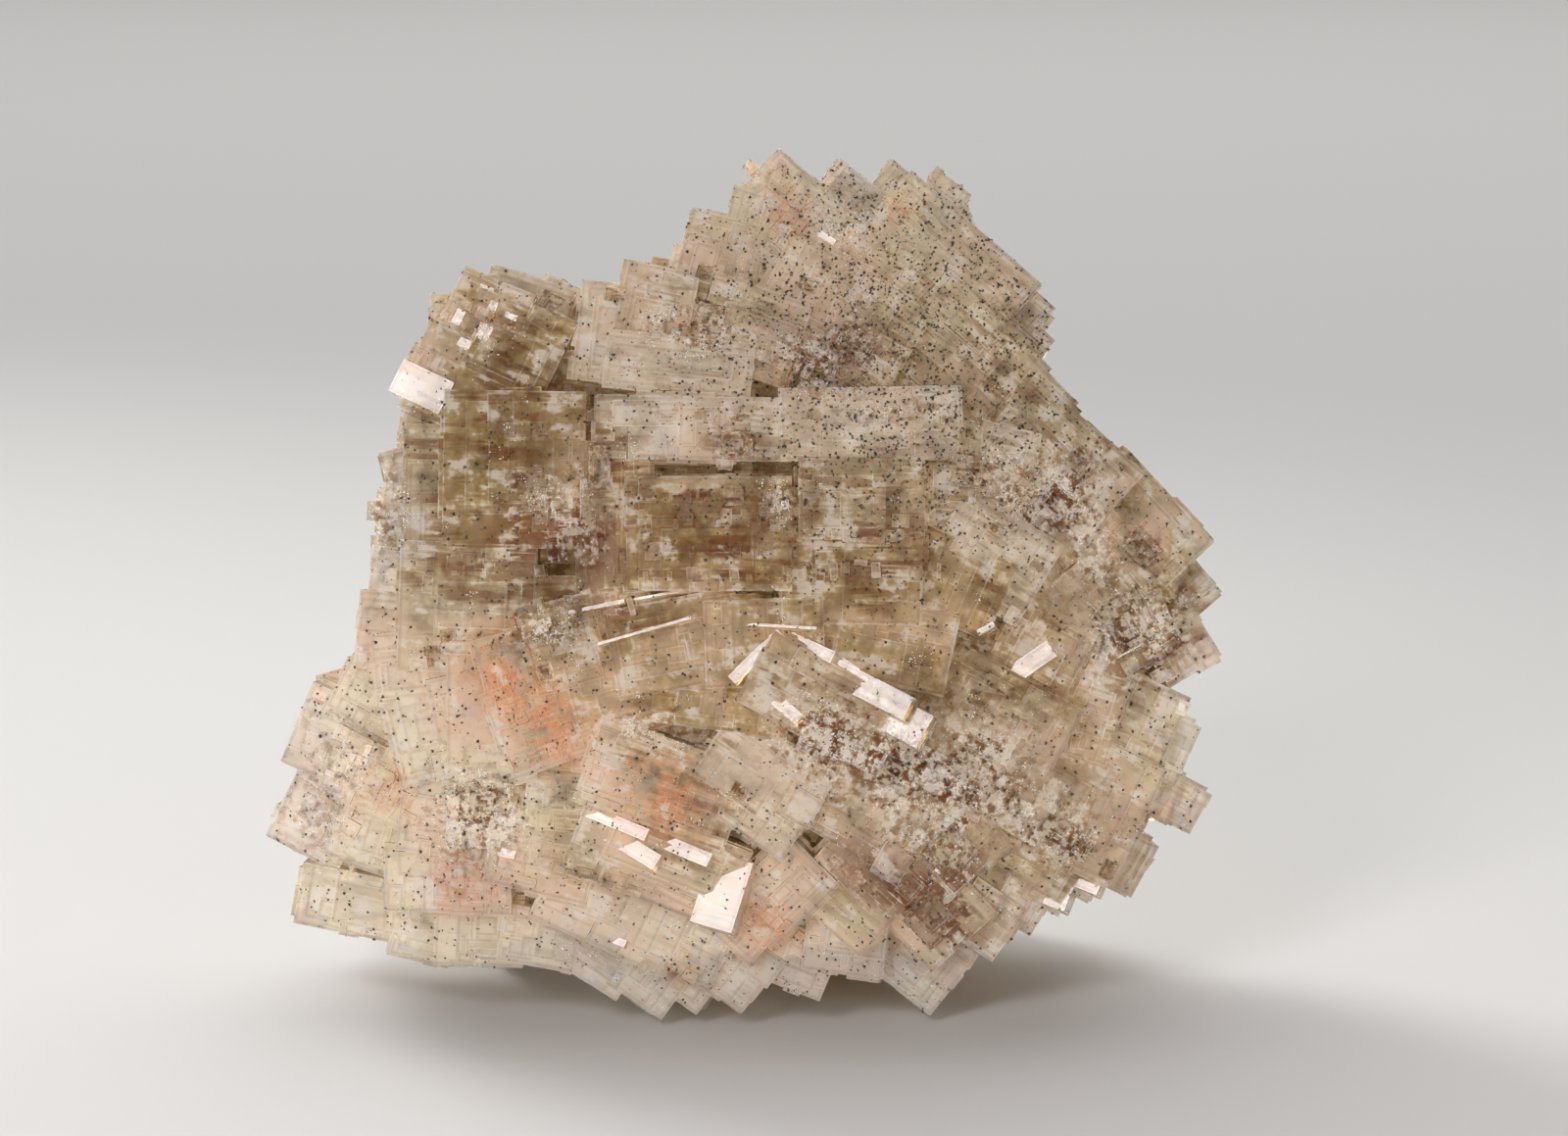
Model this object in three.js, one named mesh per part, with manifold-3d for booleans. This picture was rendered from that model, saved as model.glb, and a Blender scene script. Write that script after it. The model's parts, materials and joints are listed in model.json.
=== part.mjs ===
// Fluorite specimen: one cluster of blocky cubes grown into each other.
// Lengths are millimetres. The cluster stands on a trimmed flat, +Z is up and -Y is its face.
//
// Each crystal is written on the face plane: right of the middle, up from the lowest tip, width,
// height, clockwise turn in degrees, and how far it stands proud of the rounded face.

import * as THREE from 'three';
import { mergeVertices } from 'three/addons/utils/BufferGeometryUtils.js';
import Module from 'manifold-3d';

const wasm = await Module();
wasm.setup();

// How the whole cluster sits
const LEAN_BACK = 10;
const GROUND_DROP = 0.7;
const MIDDLE_UP = 36;
const HALF_WIDTH = 40;
const HALF_HEIGHT = 38;

// Rounded face and rounded back, measured from the plane of the rim
const FACE_RISE = 14;
const FACE_FALL = 9.5;
const BACK_RISE = 25;
const BACK_FALL = 16;
const BACK_MIDDLE_UP = 26;
const BACK_HALF_HEIGHT = 48;
const FACE_FOLLOW = 0.3;
const ROOT_DEPTH = -6;
const BACK_ROOT_DEPTH = 1;

// Neighbouring crystals don't quite line up
const LOOSE_TILT = 2.2;

// Growth steps on the faces of the larger crystals
const STEP_FROM_AREA = 60;
const STEP_INSET = 0.82;
const STEP_HEIGHT = 0.45;
const STEP_SHIFT = 0.06;

// Crystals on the back
const BACK_SPREAD = 0.9;
const BACK_SIZE = 1.45;
const BACK_EVERY = 2;
const BACK_TURN = 50;

// Cubes on the side walls, tipped outward
const SIDE_FROM = 0.74;
const SIDE_INSET = 1.8;
const SIDE_DEPTH = -5;
const SIDE_DEPTH_SPREAD = 3.5;
const SIDE_TILT = 32;

// Stepped pits
const PIT_STEPS = 2;
const PIT_NARROWING = 0.55;
const PIT_CLEARANCE = 4;

const GROUND_SIZE = 200;

// right, up, width, height, turn, proud
const LEFT_SHOULDER = [
  [-21.6, 55.8, 10.8, 12.9, 25, 1.0],
  [-18.6, 61.0, 7.5, 5.0, 18, -1.5],
  [-16.5, 60.8, 3.6, 5.0, 28, -2.5],
  [-27.0, 55.2, 3.5, 5.5, 27, -1.0],
  [-26.6, 51.0, 5.0, 4.5, 12, -1.5],
];

const LEFT_COLUMN = [
  [-28.0, 47.0, 5.2, 4.2, -15, -0.5],
  [-28.7, 42.4, 5.0, 6.0, 3, -1.5],
  [-28.6, 37.8, 6.4, 5.0, 6, -1.0],
  [-29.2, 33.2, 7.2, 6.6, 5, -0.5],
  [-19.3, 47.0, 12.0, 13.0, 1, 0.8],
  [-26.2, 43.5, 5.0, 14.5, 1, 0.2],
  [-23.3, 35.3, 11.6, 11.0, 2, 0.2],
  [-14.2, 45.2, 4.5, 8.0, 0, 0.0],
];

const CENTRE = [
  [-10.8, 41.5, 5.8, 12.5, 0, 0.2],
  [-2.9, 41.5, 13.8, 9.6, 0, 0.9],
  [9.8, 44.4, 10.6, 6.8, 0, 1.2],
  [9.0, 37.7, 11.8, 7.6, 1, 0.5],
  [-4.6, 50.3, 15.5, 5.4, 1, 0.9],
  [10.4, 50.7, 15.0, 6.2, -1, 1.2],
  [17.0, 46.8, 5.8, 9.2, 2, 0.4],
  [-13.3, 32.7, 10.0, 7.6, -14, 0.5],
  [-5.8, 32.3, 10.8, 7.6, -11, 0.3],
  [1.7, 32.4, 10.0, 7.4, -2, 0.4],
  [-2.0, 28.0, 12.0, 6.0, 8, 0.0],
  [-10.0, 27.5, 11.0, 6.0, -16, 0.1],
  [11.5, 32.5, 12.0, 7.0, 12, 0.4],
  [17.5, 37.5, 9.0, 7.0, 24, 0.3],
];

const UPPER_MIDDLE = [
  [-10.9, 58.4, 6.5, 8.6, 6, -0.4],
  [-7.6, 59.9, 6.2, 8.4, 12, 0.1],
  [-2.8, 63.6, 6.0, 9.8, 15, 0.0],
  [-4.6, 61.8, 4.6, 7.8, 15, -0.8],
  [0.6, 65.8, 5.4, 9.5, 14, 0.2],
  [-5.5, 55.6, 12.5, 5.0, 6, 0.3],
  [0.5, 58.6, 8.6, 7.5, 20, 0.3],
  [5.8, 61.0, 8.5, 9.0, 26, 0.5],
];

const CROWN = [
  [3.2, 70.7, 5.1, 5.1, 42, 0.3],
  [5.8, 66.2, 8.5, 8.2, 38, 0.6],
  [8.6, 70.4, 4.6, 4.4, 38, -0.8],
  [13.0, 70.1, 5.0, 4.8, 40, -0.8],
  [16.4, 69.8, 3.8, 5.0, 38, -1.6],
  [15.6, 63.1, 14.5, 12.0, 42, 0.8],
  [9.8, 58.8, 9.4, 8.6, 32, 0.4],
  [18.6, 56.8, 10.4, 9.2, 40, 0.3],
  [22.6, 60.2, 5.0, 5.6, 42, -0.8],
  [24.3, 57.8, 2.8, 3.2, 44, -1.2],
];

const RIGHT_WING = [
  [22.8, 53.9, 6.5, 6.0, 46, -0.2],
  [26.5, 47.8, 12.5, 8.0, 42, 0.4],
  [33.4, 42.3, 11.0, 7.5, 47, 0.1],
  [25.6, 43.2, 8.0, 7.0, 40, 0.0],
  [21.0, 46.0, 6.0, 9.5, 14, 0.2],
  [35.9, 37.2, 7.0, 6.5, 50, -0.3],
  [32.3, 33.8, 7.6, 7.0, 60, 0.5],
  [36.8, 32.4, 6.2, 5.4, 58, -0.6],
  [31.0, 39.0, 7.0, 6.4, 48, 0.2],
  [20.8, 39.6, 9.6, 8.0, 32, 0.5],
  [27.0, 37.3, 6.8, 6.2, 52, 0.2],
  [25.2, 32.2, 7.4, 6.6, 28, 0.3],
  [28.8, 31.6, 4.6, 5.4, 24, 0.1],
];

const LOWER_RIGHT = [
  [7.3, 27.0, 14.6, 6.7, 29, 1.8],
  [21.2, 25.6, 12.0, 9.0, 29, 0.9],
  [29.3, 26.2, 5.0, 7.5, 18, 0.6],
  [33.6, 25.2, 6.0, 8.0, 25, 0.0],
  [35.8, 23.4, 4.6, 5.6, 25, -0.6],
  [36.6, 18.8, 5.6, 3.9, 28, -1.4],
  [28.5, 19.0, 11.0, 10.8, 26, 0.9],
  [31.8, 13.9, 5.6, 5.0, 28, -0.8],
  [28.4, 13.4, 5.0, 4.6, 29, 0.2],
  [25.8, 11.8, 4.4, 4.2, 29, 0.0],
  [23.6, 10.2, 4.2, 4.4, 30, -0.4],
  [20.4, 8.8, 5.2, 5.4, 34, -0.1],
  [17.1, 15.6, 7.4, 7.4, 46, 0.9],
  [15.9, 9.8, 8.0, 7.6, 47, 0.7],
  [14.5, 5.3, 8.0, 6.0, 38, -0.6],
  [24.4, 15.4, 8.4, 6.4, 30, 0.5],
  [10.4, 18.2, 10.0, 7.6, 31, 0.8],
  [9.4, 11.8, 8.6, 8.6, 42, 0.5],
  [15.6, 20.6, 9.0, 6.0, 30, 0.3],
  [22.6, 19.6, 8.0, 6.0, 30, 0.5],
];

const LOWER_MIDDLE = [
  [-6.8, 20.6, 13.4, 7.6, 20, 0.9],
  [-7.4, 14.2, 14.4, 7.2, 22, 1.6],
  [3.4, 12.0, 6.6, 6.6, 45, 0.7],
  [1.2, 20.6, 10.5, 8.8, 34, 0.6],
  [-7.9, 4.2, 6.0, 5.6, 36, -0.2],
  [-4.5, 3.8, 4.4, 4.8, 36, -0.5],
  [-0.8, 4.7, 5.6, 5.4, 38, 0.0],
  [4.6, 5.4, 6.0, 5.4, 22, -0.5],
  [8.6, 7.4, 7.0, 6.4, 8, 0.0],
  [-12.6, 5.6, 7.0, 4.6, 33, -0.3],
  [-11.2, 9.6, 12.6, 6.6, 25, 0.6],
  [-16.8, 15.4, 9.0, 8.6, 13, 0.5],
  [-5.2, 7.4, 8.0, 5.6, 28, 0.3],
  [0.2, 8.9, 5.6, 5.6, 42, 0.3],
];

const LOWER_LEFT = [
  [-33.0, 9.8, 10.8, 5.4, 11, 0.3],
  [-27.6, 7.2, 5.4, 4.6, 13, -0.4],
  [-22.6, 7.6, 7.6, 5.8, 2, 0.1],
  [-17.4, 7.2, 6.8, 5.0, 10, 0.0],
  [-25.2, 12.2, 11.0, 5.8, 2, 0.5],
  [-36.4, 17.4, 7.0, 7.4, 27, -0.8],
  [-34.2, 23.8, 8.6, 7.4, 24, -0.3],
  [-31.9, 27.8, 5.8, 5.0, 28, -0.8],
  [-31.0, 20.4, 8.6, 6.0, 26, 0.3],
  [-30.6, 15.4, 9.6, 5.4, 18, 0.2],
  [-27.6, 25.6, 5.6, 10.4, -14, 0.2],
  [-23.4, 25.0, 5.0, 9.6, -12, 0.4],
  [-27.6, 30.6, 7.6, 5.6, -6, 0.0],
  [-25.6, 17.6, 7.4, 6.8, 8, 0.0],
  [-17.4, 25.6, 7.6, 7.8, -20, 0.9],
  [-18.4, 30.4, 7.6, 6.4, -14, 0.4],
  [-15.0, 20.0, 6.4, 6.6, 4, 0.0],
  [-21.6, 18.2, 7.0, 6.6, 4, 0.2],
];

const CRYSTALS = [
  ...LEFT_SHOULDER,
  ...LEFT_COLUMN,
  ...CENTRE,
  ...UPPER_MIDDLE,
  ...CROWN,
  ...RIGHT_WING,
  ...LOWER_RIGHT,
  ...LOWER_MIDDLE,
  ...LOWER_LEFT,
];

// Large blocks under the face that the small crystals are rooted in: right, up, width, height, turn
const ROOT_BLOCKS = [
  [-20.5, 52.5, 13, 15, 20],
  [-12, 48, 20, 18, 0],
  [7, 50, 24, 20, 0],
  [-2, 58, 14, 12, 10],
  [10, 62, 14, 13, 42],
  [20, 53, 13, 11, 42],
  [27, 43, 16, 12, 44],
  [30, 34, 12, 12, 45],
  [28, 23, 14, 16, 28],
  [14, 17, 22, 16, 32],
  [-3, 14, 22, 14, 24],
  [-8, 30, 34, 16, 0],
  [15, 32, 22, 18, 20],
  [-25, 36, 11, 18, 4],
  [-28, 20, 14, 14, 15],
  [-27, 12, 18, 7, 8],
  [-17, 14, 14, 12, 10],
  [-28.4, 27, 8, 9, 8],
  [18, 13, 10, 8, 34],
  [33, 20, 6, 6, 20],
];
const ROOT_SUNK = 1.8;
const ROOT_REACH = 0.35;

// Crystals behind the lower edge that the cluster stands on:
// right, up, width, height, turn, outer depth, inner depth
const FOOT_BLOCKS = [
  [-7.0, 5.0, 10.0, 14.0, 4, -5.0, -23.0],
  [1.0, 5.0, 7.0, 14.0, -3, -10.0, -25.5],
  [7.5, 6.0, 8.0, 14.0, 5, -15.5, -27.0],
  [14.5, 6.0, 8.0, 14.0, -4, -8.0, -24.0],
  [-15.5, 8.0, 9.0, 14.0, 3, -18.0, -27.0],
  [-23.0, 9.0, 8.0, 14.0, 6, -21.5, -28.0],
  [19.0, 8.4, 6.0, 12.8, 8, -20.0, -28.0],
];

// Stepped pits in the face: right, up, width, height, depth, turn
const PITS = [
  [-22.2, 18.6, 3.2, 2.8, 1.6, 4],
  [-12.2, 47.0, 1.9, 3.8, 1.4, 0],
  [-0.8, 49.0, 2.8, 2.2, 1.2, 0],
  [-14.0, 40.6, 3.6, 4.0, 1.8, -6],
  [-3.2, 59.8, 2.6, 2.4, 1.6, 12],
  [9.4, 57.4, 3.2, 2.8, 1.8, 30],
  [18.8, 46.2, 2.8, 1.8, 1.2, 6],
  [26.4, 44.2, 3.4, 3.0, 1.6, 40],
  [28.2, 47.4, 2.4, 2.2, 1.4, 42],
  [33.4, 40.4, 3.0, 2.6, 1.5, 47],
  [32.4, 33.8, 4.4, 4.0, 1.8, 60],
  [12.6, 21.6, 4.2, 2.6, 1.2, 30],
  [19.4, 21.8, 4.4, 3.0, 1.4, 30],
  [26.8, 16.4, 3.8, 2.2, 1.2, 28],
  [17.2, 14.4, 3.6, 3.6, 1.6, 46],
  [16.0, 8.8, 3.4, 3.4, 1.5, 47],
];

// Repeatable spread between -1 and 1, one value for each crystal and use
function spread(index, use) {
  const wave = Math.sin(index * 12.9898 + use * 78.233) * 43758.5453;
  return 2 * (wave - Math.floor(wave)) - 1;
}

function away(right, up) {
  return Math.hypot(right / HALF_WIDTH, (up - MIDDLE_UP) / HALF_HEIGHT);
}

function faceDepth(right, up) {
  return FACE_RISE - FACE_FALL * away(right, up) ** 2;
}

function backDepth(right, up) {
  const off = Math.hypot(right / HALF_WIDTH, (up - BACK_MIDDLE_UP) / BACK_HALF_HEIGHT);
  return BACK_RISE - BACK_FALL * off ** 2;
}

function faceTilt(right, up, index) {
  const sideways = (2 * FACE_FALL * right) / HALF_WIDTH ** 2;
  const upward = (2 * FACE_FALL * (up - MIDDLE_UP)) / HALF_HEIGHT ** 2;
  const loose = THREE.MathUtils.degToRad(LOOSE_TILT);
  return {
    pitch: -Math.atan(upward) * FACE_FOLLOW + loose * spread(index, 5),
    yaw: Math.atan(sideways) * FACE_FOLLOW + loose * spread(index, 6),
  };
}

function toSolid(geometry) {
  geometry.deleteAttribute('normal');
  geometry.deleteAttribute('uv');
  const welded = mergeVertices(geometry, 1e-6);
  const mesh = new wasm.Mesh({
    numProp: 3,
    vertProperties: new Float32Array(welded.attributes.position.array),
    triVerts: new Uint32Array(welded.index.array),
  });
  return new wasm.Manifold(mesh);
}

function toGeometry(solid) {
  const mesh = solid.getMesh();
  const geometry = new THREE.BufferGeometry();
  geometry.setAttribute('position', new THREE.BufferAttribute(new Float32Array(mesh.vertProperties), 3));
  geometry.setIndex(new THREE.BufferAttribute(new Uint32Array(mesh.triVerts), 1));
  return geometry;
}

// A block whose outer face is at the given depth and whose root runs straight in behind it
function block(right, up, outer, size, turn, tilt) {
  const geometry = new THREE.BoxGeometry(size.width, size.height, size.depth);
  geometry.translate(0, 0, -size.depth / 2);
  geometry.rotateZ(-THREE.MathUtils.degToRad(turn));
  geometry.rotateX(tilt.pitch);
  geometry.rotateY(tilt.yaw);
  geometry.translate(right, up, outer);
  return toSolid(geometry);
}

function growthStep(row, index, outer, depth, tilt) {
  const [right, up, width, height, turn] = row;
  const shiftRight = width * STEP_SHIFT * spread(index, 1);
  const shiftUp = height * STEP_SHIFT * spread(index, 2);
  const size = {
    width: width * STEP_INSET,
    height: height * STEP_INSET,
    depth: depth + STEP_HEIGHT,
  };
  return block(right + shiftRight, up + shiftUp, outer + STEP_HEIGHT, size, turn, tilt);
}

function faceCrystal(row, index) {
  const [right, up, width, height, turn, proud] = row;
  const outer = faceDepth(right, up) + proud;
  const tilt = faceTilt(right, up, index);
  const depth = outer - ROOT_DEPTH;
  const crystal = block(right, up, outer, { width, height, depth }, turn, tilt);
  if (width * height < STEP_FROM_AREA) {
    return crystal;
  }
  return crystal.add(growthStep(row, index, outer, depth, tilt));
}

function backCrystal(row, index) {
  const [right, up, width, height, turn, proud] = row;
  const backRight = right * BACK_SPREAD;
  const backUp = MIDDLE_UP + (up - MIDDLE_UP) * BACK_SPREAD;
  const outer = backDepth(backRight, backUp) + proud + spread(index, 3);
  const depth = outer + BACK_ROOT_DEPTH;
  const geometry = new THREE.BoxGeometry(width * BACK_SIZE, height * BACK_SIZE, depth);
  const tilt = faceTilt(backRight, backUp, index);
  geometry.translate(0, 0, depth / 2);
  geometry.rotateZ(-THREE.MathUtils.degToRad(turn + BACK_TURN * spread(index, 4)));
  geometry.rotateX(-tilt.pitch);
  geometry.rotateY(-tilt.yaw);
  geometry.translate(backRight, backUp, -outer);
  return toSolid(geometry);
}

function sideCrystal(row, index) {
  const [right, up, width, height, turn] = row;
  const outward = new THREE.Vector2(right, up - MIDDLE_UP).normalize();
  const size = (width + height) / 2;
  const geometry = new THREE.BoxGeometry(size, size, size);
  const tilt = THREE.MathUtils.degToRad(SIDE_TILT);
  geometry.rotateZ(-THREE.MathUtils.degToRad(turn));
  geometry.rotateX(tilt * (outward.y * 0.6 + 0.4 * spread(index, 7)));
  geometry.rotateY(-tilt * (outward.x * 0.6 + 0.4 * spread(index, 8)));
  const inRight = right - outward.x * SIDE_INSET;
  const inUp = up - outward.y * SIDE_INSET;
  geometry.translate(inRight, inUp, SIDE_DEPTH + SIDE_DEPTH_SPREAD * spread(index, 9));
  return toSolid(geometry);
}

function rootBlock(row) {
  const [right, up, width, height, turn] = row;
  const reach = ROOT_REACH;
  const outer = faceDepth(right * (1 + reach), up + (up - MIDDLE_UP) * reach) - ROOT_SUNK;
  const depth = outer + backDepth(right, up) - ROOT_SUNK;
  return block(right, up, outer, { width, height, depth }, turn, { pitch: 0, yaw: 0 });
}

function footBlock(row) {
  const [right, up, width, height, turn, outer, inner] = row;
  return block(right, up, outer, { width, height, depth: outer - inner }, turn, { pitch: 0, yaw: 0 });
}

function pit(row) {
  const [right, up, width, height, depth, turn] = row;
  const level = faceDepth(right, up) + STEP_HEIGHT;
  const tilt = faceTilt(right, up, 0);
  let hollow = null;
  for (let step = 0; step < PIT_STEPS; step += 1) {
    const narrow = PIT_NARROWING ** step;
    const reach = (depth * (step + 1)) / PIT_STEPS;
    const size = {
      width: width * narrow,
      height: height * narrow,
      depth: reach + PIT_CLEARANCE,
    };
    const cut = block(right, up, level + PIT_CLEARANCE, size, turn, tilt);
    hollow = hollow ? hollow.add(cut) : cut;
  }
  return hollow;
}

function growCluster() {
  let cluster = rootBlock(ROOT_BLOCKS[0]);
  for (const row of ROOT_BLOCKS.slice(1)) {
    cluster = cluster.add(rootBlock(row));
  }
  CRYSTALS.forEach((row, index) => {
    cluster = cluster.add(faceCrystal(row, index));
    if (index % BACK_EVERY === 0) {
      cluster = cluster.add(backCrystal(row, index));
    }
    if (away(row[0], row[1]) > SIDE_FROM) {
      cluster = cluster.add(sideCrystal(row, index));
    }
  });
  for (const row of FOOT_BLOCKS) {
    cluster = cluster.add(footBlock(row));
  }
  for (const row of PITS) {
    cluster = cluster.subtract(pit(row));
  }
  return cluster;
}

// The face plane is stood up, leant back a little, and the foot is trimmed flat
function standUp(solid) {
  const geometry = toGeometry(solid);
  geometry.rotateX(THREE.MathUtils.degToRad(90 - LEAN_BACK));
  geometry.translate(0, 0, -GROUND_DROP);
  const ground = new THREE.BoxGeometry(GROUND_SIZE, GROUND_SIZE, GROUND_SIZE);
  ground.translate(0, 0, -GROUND_SIZE / 2);
  return toGeometry(toSolid(geometry).subtract(toSolid(ground)));
}

function centreOnFloor(geometry) {
  geometry.computeBoundingBox();
  const { min, max } = geometry.boundingBox;
  geometry.translate(-(min.x + max.x) / 2, -(min.y + max.y) / 2, -min.z);
}

const fluorite = new THREE.MeshStandardMaterial({ color: 0xc2ab8c, roughness: 0.25 });

const clusterGeometry = standUp(growCluster());
centreOnFloor(clusterGeometry);
clusterGeometry.computeVertexNormals();
const cluster = new THREE.Mesh(clusterGeometry, fluorite);
cluster.name = 'fluorite_cluster';

const specimen = new THREE.Group();
specimen.name = 'fluorite_specimen';
specimen.add(cluster);

export default specimen;
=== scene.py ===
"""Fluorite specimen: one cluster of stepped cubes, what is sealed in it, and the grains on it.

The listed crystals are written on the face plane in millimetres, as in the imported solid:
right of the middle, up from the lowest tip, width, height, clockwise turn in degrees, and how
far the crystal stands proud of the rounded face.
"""

import json
import logging
from dataclasses import dataclass, field
from enum import Enum

import bmesh
import bpy
import numpy as np
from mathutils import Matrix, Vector
from mathutils.bvhtree import BVHTree

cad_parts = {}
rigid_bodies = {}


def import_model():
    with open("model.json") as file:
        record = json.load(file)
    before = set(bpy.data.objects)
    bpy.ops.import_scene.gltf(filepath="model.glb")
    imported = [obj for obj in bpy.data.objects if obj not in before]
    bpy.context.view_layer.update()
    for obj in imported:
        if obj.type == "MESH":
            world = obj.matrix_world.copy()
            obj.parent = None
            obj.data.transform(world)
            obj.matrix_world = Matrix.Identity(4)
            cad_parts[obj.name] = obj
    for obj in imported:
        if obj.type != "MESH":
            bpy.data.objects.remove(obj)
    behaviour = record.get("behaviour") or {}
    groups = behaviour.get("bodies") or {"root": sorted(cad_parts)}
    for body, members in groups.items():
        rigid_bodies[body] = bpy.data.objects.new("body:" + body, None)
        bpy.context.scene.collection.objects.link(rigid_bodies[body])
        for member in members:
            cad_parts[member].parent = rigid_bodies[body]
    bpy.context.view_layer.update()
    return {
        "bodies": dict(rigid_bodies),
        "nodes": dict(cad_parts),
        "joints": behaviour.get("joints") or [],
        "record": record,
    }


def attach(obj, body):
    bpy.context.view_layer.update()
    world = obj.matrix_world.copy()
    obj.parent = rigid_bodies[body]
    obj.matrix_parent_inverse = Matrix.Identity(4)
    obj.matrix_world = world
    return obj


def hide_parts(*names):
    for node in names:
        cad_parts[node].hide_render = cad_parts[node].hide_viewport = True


log = logging.getLogger("fluorite")
MM = 0.001
# the key light in the object's frame, metres, and the camera on the face plane, millimetres
KEY_PLACE = (-0.32, -0.69, 0.47)
VIEW_PLACE = (3.33, 38.6, 406.0)


class Tint(Enum):
    """Colour family of one crystal: how rusty, how pale and how frosted it is, 0 to 1."""

    OLIVE = (0.05, 0.10, 0.05)
    BROWN = (0.30, 0.00, 0.08)
    TAN = (0.10, 0.26, 0.08)
    CREAM = (0.02, 0.75, 0.15)
    PINK = (0.35, 0.50, 0.12)
    RUST = (0.75, 0.40, 0.12)
    PALE = (0.00, 1.00, 0.30)
    FROST = (0.10, 0.70, 0.85)


O, B, T, C, P, R, W, F = (
    Tint.OLIVE, Tint.BROWN, Tint.TAN, Tint.CREAM, Tint.PINK, Tint.RUST, Tint.PALE, Tint.FROST,
)

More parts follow.
